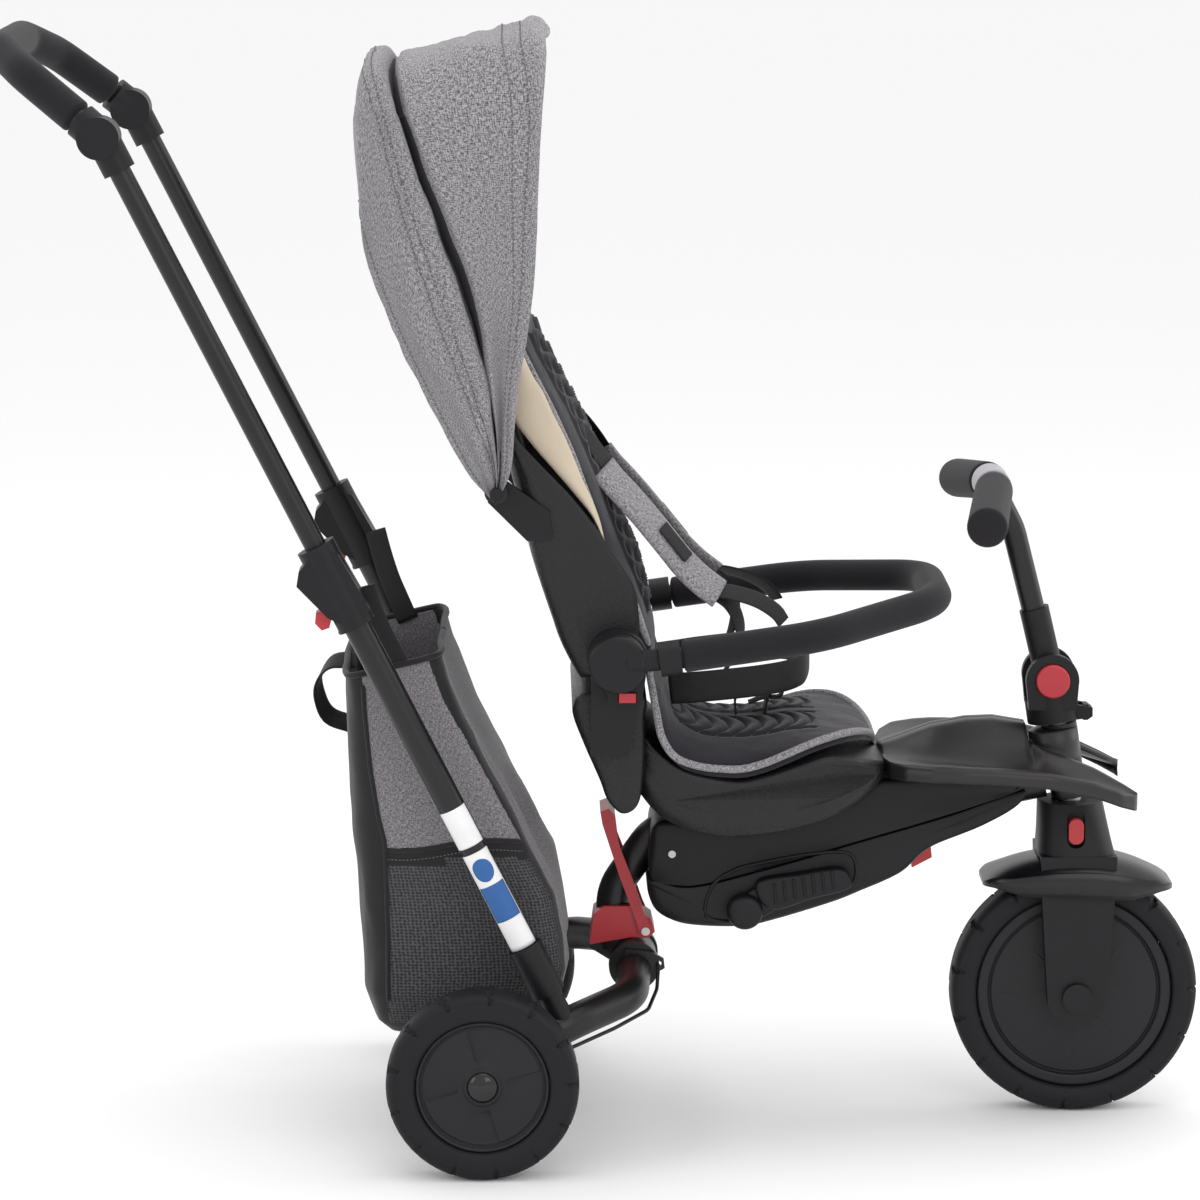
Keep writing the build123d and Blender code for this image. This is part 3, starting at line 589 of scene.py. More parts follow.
def run_group():
    """Geometry Nodes group that repeats one rounded bead along a line."""
    group = bpy.data.node_groups.new("bead_run", "GeometryNodeTree")
    face = group.interface
    face.new_socket("Geometry", in_out="INPUT", socket_type="NodeSocketGeometry")
    sockets = {"Pitch": "NodeSocketFloat", "Bead": "NodeSocketVector", "Finish": "NodeSocketMaterial"}
    keys = {k: face.new_socket(k, in_out="INPUT", socket_type=v).identifier for k, v in sockets.items()}
    face.new_socket("Geometry", in_out="OUTPUT", socket_type="NodeSocketGeometry")
    new, link = group.nodes.new, group.links.new
    given, result = new("NodeGroupInput"), new("NodeGroupOutput")
    line, spaced = new("GeometryNodeMeshToCurve"), new("GeometryNodeResampleCurve")
    tangent, turn = new("GeometryNodeInputTangent"), new("FunctionNodeAlignRotationToVector")
    bead, place = new("GeometryNodeMeshUVSphere"), new("GeometryNodeInstanceOnPoints")
    spaced.mode = "LENGTH"
    turn.axis = "Z"
    real, coat = new("GeometryNodeRealizeInstances"), new("GeometryNodeSetMaterial")
    bead.inputs["Segments"].default_value = 8
    bead.inputs["Rings"].default_value = 5
    bead.inputs["Radius"].default_value = 0.5
    link(given.outputs["Geometry"], line.inputs["Mesh"])
    link(line.outputs["Curve"], spaced.inputs["Curve"])
    link(given.outputs["Pitch"], spaced.inputs["Length"])
    link(tangent.outputs["Tangent"], turn.inputs["Vector"])
    link(spaced.outputs["Curve"], place.inputs["Points"])
    link(bead.outputs["Mesh"], place.inputs["Instance"])
    link(turn.outputs["Rotation"], place.inputs["Rotation"])
    link(given.outputs["Bead"], place.inputs["Scale"])
    link(place.outputs["Instances"], real.inputs["Geometry"])
    link(real.outputs["Geometry"], coat.inputs["Geometry"])
    link(given.outputs["Finish"], coat.inputs["Material"])
    link(coat.outputs["Geometry"], result.inputs["Geometry"])
    return group, keys


BEADS, BEAD_KEYS = run_group()


def bead_run(name, lines, pitch, bead, finish):
    """Beads of this size (mm across, across, along) every pitch mm along lines of points."""
    mesh = bpy.data.meshes.new(name)
    points, edges = [], []
    for line in lines:
        edges += [(len(points) + k, len(points) + k + 1) for k in range(len(line) - 1)]
        points += [tuple(np.array(p) * MM) for p in line]
    mesh.from_pydata(points, edges, [])
    piece = bpy.data.objects.new(name, mesh)
    scene.collection.objects.link(piece)
    run = piece.modifiers.new("run", "NODES")
    run.node_group = BEADS
    run[BEAD_KEYS["Pitch"]] = pitch * MM
    run[BEAD_KEYS["Bead"]] = [b * MM for b in bead]
    run[BEAD_KEYS["Finish"]] = finish
    settle(piece)
    piece.data.shade_smooth()
    return piece


def hood_row(key):
    """The hood's own points along one of its lines."""
    return hood_grid[hood_names.index(key) * PER_STATION]


sewn = [hood_row(key)[6:-6] for key in ("stitch", "panel_a", "seam_1", "seam_2", "hem_seam")]
finish_hood_piece(bead_run("hood_seam_threads", sewn, 4.8, (1.7, 1.7, 3.4), seam_thread))

# ---------------------------------------------------------------------------
# Foam grips. Closed-cell NBR foam tube, pushed over the steel: the push
# handle's bow, the safety bar, and the two ends of the handlebar.
SIDES = ((-1, "right"), (1, "left"))
FOAM_BLACK = (0.0135, 0.0122, 0.0148)
soft_foam = coat_of("grip_foam", FOAM_BLACK, 20.0, (0.84, 0.95), (1700.0, 0.00025),
                    specular_ior_level=0.2, sheen_weight=0.12)


def mirrored(points):
    """A run of points on the near side, then its mirror image back again."""
    return [tuple(p) for p in points] + [(p[0], -p[1], p[2]) for p in points[::-1]]


def stepped(way, step):
    """The same path with evenly spaced points."""
    way = np.array(way, float)
    reach = np.concatenate([[0], np.cumsum(np.linalg.norm(np.diff(way, axis=0), axis=1))])
    marks = np.linspace(0, reach[-1], max(2, int(reach[-1] / step)) + 1)
    return np.stack([np.interp(marks, reach, way[:, k]) for k in range(3)], -1)


def bent(points, radii, step=5.0):
    """Straight runs joined by arcs."""
    pts = [np.array(p, float) for p in points]
    way = [pts[0]]
    for a, b, c, r in zip(pts, pts[1:], pts[2:], radii):
        d1, d2 = (b - a) / np.linalg.norm(b - a), (c - b) / np.linalg.norm(c - b)
        turn = math.acos(float(np.clip(d1 @ d2, -1, 1)))
        inward = (d2 - d1 * math.cos(turn)) / math.sin(turn)
        start = b - d1 * r * math.tan(turn / 2)
        for f in np.linspace(0, turn, 12):
            way.append(start + inward * r * (1 - math.cos(f)) + d1 * r * math.sin(f))
    way.append(pts[-1])
    return stepped(way, step)


def curved(points, step=4.0, per_span=8):
    """A smooth path through these points."""
    return stepped(smooth_rows(np.array(points, float), per_span), step)


def hose(name, way, radius, sides=28, round_end=4.0, rise=None):
    """A round piece along a path, with rounded ends; rise(share) scales its radius along the way."""
    way = np.array(way, float)
    reach = np.concatenate([[0], np.cumsum(np.linalg.norm(np.diff(way, axis=0), axis=1))])
    ends = np.array([0, 0.08, 0.25, 0.5, 0.8]) * round_end
    between = reach[(reach > round_end) & (reach < reach[-1] - round_end)]
    marks = np.unique(np.concatenate([ends, between, reach[-1] - ends]))
    line = np.stack([np.interp(marks, reach, way[:, k]) for k in range(3)], -1)
    tangent = np.gradient(line, axis=0)
    tangent /= np.linalg.norm(tangent, axis=1, keepdims=True)
    up = np.array([0.123, 0.2, 1.0])
    rows = []
    for p, t, s in zip(line, tangent, marks):
        up = up - t * (up @ t)
        up /= np.linalg.norm(up)
        side = np.cross(t, up)
        near_end = min(s, reach[-1] - s, round_end) / round_end
        r = radius * max(0.03, math.sqrt(1 - (1 - near_end) ** 2))
        if rise is not None:
            r *= rise(s / reach[-1])
        a = np.arange(sides) * 2 * math.pi / sides
        rows.append(p + r * (np.cos(a)[:, None] * side + np.sin(a)[:, None] * up))
    return outward(skin(name, np.array(rows), close_across=True, caps=True))


def only(this_one, *names):
    """The CAD node of a pair is named by one of the two pieces that stand for it."""
    return names if this_one else ()


GRIP_PATH = [(-472, 170.7, 960.4), (-520, 150, 998), (-548, 96, 1017)]
grip = hose("push_handle_foam", bent(mirrored(GRIP_PATH), [40, 45, 45, 40]), 16.0)
finished(grip, soft_foam, "push_handle", "foam", "handle_grip", padded=True)

BAR_TILT = math.radians(7.9)


def on_bar(u, v, lift=0.0):
    """A point of the safety bar's plane, from its hub."""
    return (8 + u * math.cos(BAR_TILT) - lift * math.sin(BAR_TILT), v,
            464 + u * math.sin(BAR_TILT) + lift * math.cos(BAR_TILT))


bar_path = bent(mirrored([on_bar(58, 168), on_bar(186, 165), on_bar(302, 72)]), [100, 75, 75, 100])
finished(hose("safety_bar_foam", bar_path, 15.0), soft_foam, "safety_bar", "foam", "bar_foam", padded=True)

for s, side in SIDES:
    way = stepped([(361.8, s * 25.6, 603.8), (343, s * 158, 586.6)], 4.0)
    piece = hose(f"handlebar_grip_{side}", way, 18.4, rise=lambda share: 0.97 + 0.05 * share, round_end=5.0)
    finished(piece, soft_foam, "handlebar", "foam", *only(s > 0, "handlebar_grips"), padded=True)

# ---------------------------------------------------------------------------
# Seat pad. Quilted polyester over 15 mm wadding, crowned in the middle, with
# two rows of overlapping crescents sewn through it and a heather piping.
PAD_DARK = (0.0165, 0.0155, 0.0205)
PAD_ROWS = 12
pad_cloth = coat_of("pad_polyester", PAD_DARK, 30.0, (0.74, 0.9), (1900.0, 0.0002), spread=0.2,
                    specular_ior_level=0.25, sheen_weight=0.25, sheen_roughness=0.4)


def pillow(name, top, bottom):
    """A closed piece between a top grid and a bottom grid with the same rows."""
    around = np.concatenate([top, np.asarray(bottom)[:, ::-1]], 1)
    return outward(skin(name, around, close_across=True, caps=True))


def crowned(stations, across):
    """Rows of points from (edge x, edge z, centre x, centre z, half width), crowned across."""
    v = np.linspace(-1, 1, across)
    arch = (1 - np.abs(v) ** 2.4) ** 0.62
    return np.array([np.stack([xe + (xc - xe) * arch, half * v, ze + (zc - ze) * arch], -1)
                     for xe, ze, xc, zc, half in smooth_rows(stations, PAD_ROWS)])


def quilted(grid, first, last, pitch, depth, inner=10.0, outer=74.0):
    """Presses two rows of crescent seams, and the seams around them, into a grid."""
    normal = np.cross(np.gradient(grid, axis=0), np.gradient(grid, axis=1))
    normal /= np.maximum(np.linalg.norm(normal, axis=2, keepdims=True), 1e-9)
    spine = grid[:, grid.shape[1] // 2]
    reach = np.concatenate([[0], np.cumsum(np.linalg.norm(np.diff(spine, axis=0), axis=1))])
    s = np.repeat(reach[:, None], grid.shape[1], 1)
    y = np.abs(grid[..., 1])
    middle, half = (inner + outer) / 2, (outer - inner) / 2
    share = np.clip((y - middle) / half, -1, 1)
    bowed = s + 15.0 * share ** 2
    away = np.abs(((bowed - first) / pitch + 0.5) % 1 - 0.5) * pitch
    inside = (np.abs(y - middle) < half) & (bowed > first - 2) & (bowed < last)
    groove = np.where(inside, np.exp(-(away / 2.0) ** 2), 0)
    puff = np.where(inside, np.sin(np.clip(away / pitch * 2, 0, 1) * math.pi / 2) * 0.8, 0)
    frame_y = np.minimum(np.abs(y - inner), np.abs(y - outer))
    rail = np.where((s > first) & (s < last), np.exp(-(frame_y / 1.8) ** 2), 0)
    press = depth * (puff * 0.55 - np.maximum(groove, rail))
    return grid + normal * press[..., None]


SEAT_ROWS = [(37, 452, 48, 453, 106), (41, 429, 55, 429, 112), (45, 407, 63, 409, 117),
             (50, 386, 74, 395, 120), (62, 369, 88, 388, 122), (82, 361, 102, 385, 123),
             (104, 358, 120, 384, 123), (124, 358, 138, 385, 123), (144, 363, 156, 387, 122),
             (164, 371, 174, 389, 121), (184, 379, 192, 389, 117), (204, 384, 210, 387, 107),
             (222, 385, 228, 384, 90), (237, 381, 241, 379, 64), (247, 373, 249, 371, 34),
             (251, 364, 252, 362, 10)]
seat_top = crumpled(quilted(crowned(SEAT_ROWS, 111), 62.0, 190.0, 15.5, 3.4), 30.0, 0.8, 5.0)
seat_low = crowned([(x + 3, z - 9, x + 4, z - 10, h - 4) for x, z, _, _, h in SEAT_ROWS], 111)
seat_pad = pillow("seat_pad_quilt", seat_top, seat_low)
finished(seat_pad, pad_cloth, "chassis", "fabric_dark", "seat_cushion", padded=True)


def edge_of(rows):
    """The line around three sides of a pad, near side first."""
    return curved(mirrored([(x, -h - 0.5, z) for x, z, _, _, h in rows]), 3.0)


piping = hose("seat_pad_piping", edge_of(SEAT_ROWS), 3.6, sides=12)
finished(piping, melange, "chassis", "fabric_melange")

# ---------------------------------------------------------------------------
# Backrest. The same quilted pad, taller, in a moulded wing-sided shell, with
# cream cloth cheeks on its sides and heather piping between the two.
BACK_ROWS = [(35, 456, 46, 454, 98), (38, 473, 45, 474, 103), (30, 495, 39, 499, 105),
             (20, 514, 33, 521, 105), (8, 535, 26, 545, 105), (-2, 556, 17, 567, 105),
             (-8, 578, 8, 590, 105), (-15, 601, -1, 614, 105), (-23, 623, -10, 638, 105),
             (-31, 645, -20, 661, 105), (-40, 666, -31, 684, 105), (-50, 688, -42, 706, 105),
             (-60, 708, -53, 727, 105), (-70, 727, -63, 745, 104), (-81, 750, -71, 765, 101),
             (-91, 773, -83, 784, 92), (-99, 791, -94, 799, 70), (-103, 799, -101, 804, 30)]
back_top = crumpled(quilted(crowned(BACK_ROWS, 101), 60.0, 330.0, 24.0, 4.6), 34.0, 1.0, 11.0)
BACK_LINE = [(446, -2), (480, -20), (543, -43), (604, -58), (674, -76), (800, -106)]


def read_off(table, key):
    """The value at this key in a table of (key, value) pairs."""
    return float(np.interp(key, *zip(*table)))


back_spots = [(read_off(BACK_LINE, z - 4), z - 4, h - 5) for _, z, _, _, h in BACK_ROWS]
back_low = crowned([(x, z, x - 1, z, h) for x, z, h in back_spots], 101)
back_pad = pillow("backrest_pad_quilt", back_top, back_low)
finished(back_pad, pad_cloth, "backrest", "fabric_dark", "backrest_cushion", padded=True)
piping = hose("backrest_piping", edge_of(BACK_ROWS[3:]), 2.8, sides=12)
finished(piping, melange, "backrest", "fabric_melange")

CREAM = (0.545, 0.462, 0.352)
cream_cloth = coat_of("cream_cloth", CREAM, 16.0, (0.7, 0.84), (2200.0, 0.00012), spread=0.06,
                      sheen_weight=0.1)
CHEEK_FRONT = [(-79, 744), (-69, 722), (-59, 706), (-50, 686), (-40, 666), (-31, 645), (-23, 625),
               (-15, 608), (-8, 589), (-4, 573)]
CHEEK_REAR = [(-84, 742), (-88, 722), (-90, 702), (-86, 682), (-72, 662), (-58, 645), (-45, 630),
              (-30, 612), (-16, 594), (-6, 575)]
STRIP = [(-12, 574), (-3, 550), (12, 527), (22, 510), (30, 491), (38, 472)]
CHEEK_INSIDE, CHEEK_BASE, CHEEK_PUFF = 103, 107, 9
for s, side in SIDES:
    puffed = [(t, s * (CHEEK_BASE + CHEEK_PUFF * math.sin(math.pi * (0.15 + 0.55 * t))))
              for t in np.linspace(0, 1, 9)]
    rows = [[(fx + (rx - fx) * t, y, fz + (rz - fz) * t) for t, y in puffed]
            for (fx, fz), (rx, rz) in zip(CHEEK_FRONT, CHEEK_REAR)]
    outer = smooth_rows(rows, 6)
    inner = outer.copy()
    inner[..., 1] = s * CHEEK_INSIDE
    cheek = pillow(f"cream_cheek_{side}", outer, inner)
    finished(cheek, cream_cloth, "backrest", "fabric_cream", *only(s < 0, "side_panels"), padded=True)
    strip = hose(f"wing_strip_{side}", curved([(x, s * 115, z) for x, z in STRIP]), 6.0, sides=14,
                 rise=lambda share: 0.4 + 0.6 * math.sin(math.pi * share))
    finished(strip, melange, "backrest", "fabric_melange")

SHELL_ROWS = [(447, 20, -24), (477, 27, -39), (500, 28, -47), (530, 23, -57), (559, 5, -66),
              (588, -15, -73), (612, -34, -79), (629, -50, -83), (650, -70, -88), (668, -85, -93),
              (700, -92, -99), (740, -99, -107), (775, -104, -112), (806, -109, -117)]
SHELL_WALL = 4.5
rows = []
for z, front, back in SHELL_ROWS:
    wing = front - back
    half = [(front, 121.5, z), (front - 0.5 * wing, 122, z), (back + min(10, 0.3 * wing), 121, z - 1),
            (back + 1, 110, z - 2), (back - 1, 60, z - 3)]
    slim = read_off([(740, 1), (775, 0.95), (806, 0.76)], z)
    half = [(x, y * slim, h) for x, y, h in half]
    rows.append([(x, -y, h) for x, y, h in half] + [(back - 2, 0, z - 3)] + half[::-1])
shell = skin("backrest_wing_shell", [smooth_rows(row, 6) for row in smooth_rows(rows, 6)])
with_thickness(shell, SHELL_WALL)
finished(shell, speckled, "backrest", "black_plastic", "backrest_shell")

# ---------------------------------------------------------------------------
# Harness. Two padded heather shoulder sleeves on polypropylene webbing, a
# padded lap belt and a crotch strap with its loop and side-release buckle.
WEB_BLACK = (0.0095, 0.0090, 0.0105)
webbing, tree, body = shader("webbing_black", WEB_BLACK, 0.6, specular_ior_level=0.3)
uneven(tree, body, WEB_BLACK, 40.0, 0.2, (0.5, 0.7))
ridges = add_node(tree, "ShaderNodeTexWave", Scale=260.0, Distortion=1.5)
place = add_node(tree, "ShaderNodeUVMap")
web_bump = add_node(tree, "ShaderNodeBump", Strength=0.6, Distance=0.0003)
tree.links.new(place.outputs["UV"], ridges.inputs["Vector"])
tree.links.new(ridges.outputs["Fac"], web_bump.inputs["Height"])
tree.links.new(web_bump.outputs["Normal"], body.inputs["Normal"])


def ribbon(name, way, width, thick, across=(0, 1, 0), crown=0.0, cells=14):
    """A strap along a path: its width lies along across, its faces bulge by crown."""
    way = np.array(way, float)
    tangent = np.gradient(way, axis=0)
    tangent /= np.linalg.norm(tangent, axis=1, keepdims=True)
    broad = np.broadcast_to(np.array(across, float), way.shape)
    broad = broad - tangent * (broad * tangent).sum(1, keepdims=True)
    broad = broad / np.linalg.norm(broad, axis=1, keepdims=True)
    normal = np.cross(tangent, broad)
    v = np.linspace(-1, 1, cells)
    depth = (thick / 2 + crown) * (1 - np.abs(v) ** 4) + thick * 0.22 * np.abs(v) ** 4
    face = [(a * width / 2, d) for a, d in zip(v, depth)]
    section = face + [(a, -d) for a, d in face[::-1]]
    rows = [[p + b * u + n * w for u, w in section] for p, b, n in zip(way, broad, normal)]
    return outward(skin(name, np.array(rows), close_across=True, caps=True))


SLEEVE = [(-4, 630), (6, 617), (19, 603), (33, 587), (46, 571), (58, 556), (70, 541), (86, 525), (104, 511)]
LOOP_TAIL = [(98, 515), (118, 512), (140, 505), (157, 494), (164, 484)]
LOWER_WEB = [(101, 512), (113, 503), (121, 489), (124, 472), (119, 452), (108, 436)]
UPPER_WEB = [(-40, 676), (-24, 663), (-10, 646), (2, 628)]
SHOULDER = 62
for s, side in SIDES:
    lean = (0.34, -s * 0.84, 0.42)
    sleeve_way = curved([(x, s * SHOULDER, z) for x, z in SLEEVE])
    sleeve = ribbon(f"shoulder_sleeve_{side}", sleeve_way, 41, 5, lean, crown=3.2)
    finished(sleeve, melange, "backrest", "fabric_melange", *only(s < 0, "shoulder_pads"), padded=True)
    tag_way = curved([(x + 5.4, s * (SHOULDER + 3), z + 4.6) for x, z in SLEEVE[4:7]], 2.0)
    finished(ribbon(f"sleeve_tag_{side}", tag_way, 17, 1.6, lean), webbing, "backrest", "fabric_dark")
    for k, line in enumerate((LOOP_TAIL, LOWER_WEB, UPPER_WEB)):
        web_way = curved([(x, s * (SHOULDER - 3 * k), z) for x, z in line])
        web = ribbon(f"shoulder_web_{side}_{k}", web_way, 22, 1.8, lean)
        finished(web, webbing, "backrest", "fabric_dark", *only(s < 0 and k == 0, "harness_webbing"))

BELT = [(58, -80, 425), (84, -87, 428), (112, -89, 431), (140, -88, 434), (165, -81, 437), (181, -60, 439),
        (187, -30, 440)]
belt_path = curved(BELT + [(188, 0, 440)] + [(x, -y, z) for x, y, z in BELT[::-1]])
belt = ribbon("lap_belt", belt_path, 29, 3, (0, 0, 1), crown=1.6)
finished(belt, webbing, "chassis", "fabric_dark", "lap_straps")
CROTCH = [(150, 0, 384), (151, 0, 397), (157, 0, 410), (168, 0, 418), (184, 0, 424)]
LOOP = [(122, -10, 388), (122, -10, 404), (132, -10, 414), (150, -10, 416), (165, -10, 414),
        (164, -10, 404), (148, -10, 403), (134, -10, 398)]
finished(ribbon("crotch_strap", curved(CROTCH), 30, 3), webbing, "chassis", "fabric_dark")
finished(ribbon("crotch_loop", curved(LOOP), 20, 2), webbing, "chassis", "fabric_dark")

# ---------------------------------------------------------------------------
# Storage bag. Black nylon with heather side and front panels, a bound pocket of
# open mesh low on each side, a carrying loop and two straps to the handle.
BAG_BLACK = (0.0085, 0.0080, 0.0095)
nylon = coat_of("bag_nylon", BAG_BLACK, 14.0, (0.58, 0.75), (1500.0, 0.0002), spread=0.2,
                specular_ior_level=0.3, sheen_weight=0.15)
bag_melange = heather("bag_melange", (0.30, 0.285, 0.305), (0.085, 0.078, 0.086))
MESH_GREY = (0.036, 0.035, 0.040)
net, tree, body = shader("pocket_net", MESH_GREY, 0.7)
place = add_node(tree, "ShaderNodeUVMap")
holes = add_node(tree, "ShaderNodeTexVoronoi", Scale=330.0, Randomness=0.25)
shade = ramp_of(tree, (0.28, (0.004, 0.004, 0.005)), (0.52, (0.062, 0.060, 0.066)))
tree.links.new(place.outputs["UV"], holes.inputs["Vector"])
tree.links.new(holes.outputs["Distance"], shade.inputs["Fac"])
tree.links.new(shade.outputs["Color"], body.inputs["Base Color"])
BAG_REAR = [(106, -206), (118, -217), (147, -226), (241, -233), (335, -238), (470, -244)]
BAG_FRONT = [(106, -100), (118, -62), (140, -44), (165, -37), (200, -40), (238, -47), (342, -100),
             (427, -146), (470, -162)]
BAG_HALF = [(106, 112), (118, 126), (147, 134), (241, 138), (335, 139), (470, 134)]
BAG_AROUND, BAG_CORNER = 176, 0.24


def blunt(share):
    """Draws a circle's sine or cosine out towards a box with rounded corners."""
    return math.copysign(abs(share) ** BAG_CORNER, share)


rows = []
around = [(blunt(math.cos(a)), blunt(math.sin(a))) for a in np.arange(BAG_AROUND) * 2 * math.pi / BAG_AROUND]
for z in (106, 108, 112, 118, 128, *np.linspace(142, 446, 72)):
    rear, front, half = (read_off(line, z) for line in (BAG_REAR, BAG_FRONT, BAG_HALF))
    rows.append([((rear + front) / 2 + (front - rear) / 2 * c, half * q, z) for c, q in around])
bag_grid = np.array(rows)
top_share = np.clip((bag_grid[..., 2] - 380) / 66, 0, 1)
bag_grid[..., 2] += top_share * np.interp(bag_grid[..., 0], [-244, -160], [0, 20])
lever_room = np.exp(-(bag_grid[..., 1] / 42) ** 2) * np.exp(-((bag_grid[..., 2] - 262) / 52) ** 2)
bag_grid[..., 0] -= 24 * lever_room * (bag_grid[..., 0] > -130)
bag_grid = crumpled(np.concatenate([bag_grid, bag_grid[:, :1]], 1), 60.0, 3.4, 14.0, along=0.5)[:, :-1]
bag = skin("storage_bag_cloth", bag_grid, close_across=True)
BAG_NYLON, BAG_PANEL, BAG_NET = range(3)
for cloth in (nylon, bag_melange, net):
    bag.data.materials.append(cloth)
SIDE_EDGE = [(200, -204), (292, -206), (317, -212), (363, -219), (419, -224), (470, -226)]


def pocket_top(x):
    """Height of the pocket's slack upper edge along the bag's side."""
    return 281 + 5 * math.sin((x + 150) / 26)


for face in bag.data.polygons:
    x, y, z = face.center / MM
    front = read_off(BAG_FRONT, z)
    if abs(y) > 124 and read_off(SIDE_EDGE, z) < x < front - 6:
        above = z - pocket_top(x)
        face.material_index = BAG_PANEL if above > 9 else (BAG_NYLON if above > -7 else BAG_NET)
    elif x > front - 42 and abs(y) < 112 and z > 128:
        face.material_index = BAG_PANEL
with_thickness(bag, 2.0)
outward(bag)
base = new_mesh("storage_bag_base", bag_grid[0] * MM, [tuple(range(BAG_AROUND))])


def finish_bag_piece(piece, material=None):
    """Cloth on the rear frame that sinks as the frame folds under the seat."""
    if material is not None:
        piece.data.materials.append(material)
    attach(piece, "rear_frame")
    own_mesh(piece)


finish_bag_piece(bag)
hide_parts("storage_bag")
finish_bag_piece(base, nylon)
CARRY_LOOP = [(-236, 0, 438), (-258, 0, 436), (-270, 0, 422), (-271, 0, 405), (-262, 0, 385),
              (-240, 0, 376)]
HANGER = [(-222, 160, 536), (-216, 152, 515), (-208, 142, 492), (-198, 134, 470), (-190, 131, 452)]
finish_bag_piece(ribbon("bag_carry_loop", curved(CARRY_LOOP), 26, 3, (0.25, 0.9, 0.4)), nylon)
for s, side in SIDES:
    hanger = curved([(x, s * y, z) for x, y, z in HANGER])
    finish_bag_piece(ribbon(f"bag_strap_{side}", hanger, 20, 2, (1, 0, 0.3)), nylon)
bag_rim = hose("bag_rim_binding", stepped([*bag_grid[-1], bag_grid[-1][0]], 3.0), 3.0, sides=10)
finish_bag_piece(bag_rim, nylon)


def on_bag(x, z, s):
    """The bag's surface on one side, at this x and height."""
    row = bag_grid[int(np.argmin(np.abs(bag_grid[:, 0, 2] - z)))]
    part = row[row[:, 1] * s > 100]
    part = part[np.argsort(part[:, 0])]
    return (x, float(np.interp(x, part[:, 0], part[:, 1])), z)


sewn = []
for s, side in SIDES:
    top_edge = [on_bag(x, pocket_top(x), s) for x in np.linspace(-206, -80, 32)]
    sewn.append([(x, y + s * 0.6, z) for x, y, z in top_edge])
    hem = curved([(x, y, z + 9) for x, y, z in top_edge], 4.0, 3)
    panel_edge = curved([on_bag(read_off(SIDE_EDGE, z), z, s) for z in np.linspace(140, 440, 40)], 4.0, 3)
    finish_bag_piece(hose(f"bag_panel_binding_{side}", panel_edge, 2.4, sides=8), nylon)
    finish_bag_piece(hose(f"bag_pocket_hem_{side}", hem, 2.2, sides=8), nylon)
finish_bag_piece(bead_run("bag_pocket_threads", sewn, 3.4, (1.0, 1.0, 2.4), seam_thread))

# ---------------------------------------------------------------------------
# Footrest. One thin polypropylene moulding with two long hollows for the feet,
# a raised middle and two tips that run forward past the steering column.
FOOT_OUT = [(258, 52), (264, 84), (276, 106), (300, 120), (330, 125), (360, 125), (416, 119), (452, 109),
            (478, 99), (492, 86), (495, 78)]
FOOT_IN = [(258, 0), (396, 0), (404, 22), (412, 34), (426, 43), (446, 49), (466, 55), (484, 64), (495, 76)]
FOOT_MID = [(258, 357), (275, 363), (307, 375), (340, 381), (366, 382), (402, 376), (430, 366), (460, 350),
            (495, 327)]
FOOT_RIM = [(258, 353), (280, 357), (316, 358), (362, 356), (409, 351), (455, 339), (495, 322)]
FOOT_MARKS = (0, 0.13, 0.28, 0.48, 0.66, 0.82, 0.93, 1.0)
FOOT_WALL, FOOT_CELLS = 5, 34
foot_points, foot_faces = [], []
for s, _ in SIDES:
    top_rows, low_rows = [], []
    for x in np.linspace(258, 495, 80):
        out, inn, mid, rim = (read_off(line, x) for line in (FOOT_OUT, FOOT_IN, FOOT_MID, FOOT_RIM))
        well = rim - 8 * math.sin(math.pi * min(1, max(0, (x - 262) / 230))) - 1
        inner_z = mid if inn < 1 else rim + (mid - rim) * 0.35
        fall = inner_z - well
        levels = (inner_z, inner_z - 0.06 * fall, inner_z - 0.6 * fall, well, well + 0.5,
                  well + 0.65 * (rim - well), rim, rim - 3)
        v = np.linspace(0, 1, FOOT_CELLS)
        line = smooth_rows(list(zip(FOOT_MARKS, levels)), 6)
        flat = [(x, s * (inn + (out - inn) * t), h) for t, h in zip(v, np.interp(v, line[:, 0], line[:, 1]))]
        top_rows.append(flat + [(x, s * out, rim - 9), (x, s * (out - 2), rim - 15)])
        low_rows.append([(x, y, z - FOOT_WALL) for x, y, z in flat]
                        + [(x, s * (out - 3), rim - 10), (x, s * (out - 4), rim - 15)])
    half_foot = pillow("foot_half", np.array(top_rows), np.array(low_rows))
    start = len(foot_points)
    foot_points += [tuple(v.co) for v in half_foot.data.vertices]
    foot_faces += [tuple(start + i for i in face.vertices) for face in half_foot.data.polygons]
    bpy.data.objects.remove(half_foot)
foot_plate = new_mesh("footrest_moulding", foot_points, foot_faces)
finished(foot_plate, satin_foot, "chassis", "black_plastic", "footrest")
collar = hose("footrest_collar", [(428, 0, 338), (422.4, 0, 374)], 24.0, sides=48, round_end=5.0)
finished(collar, satin_foot, "chassis", "black_plastic")

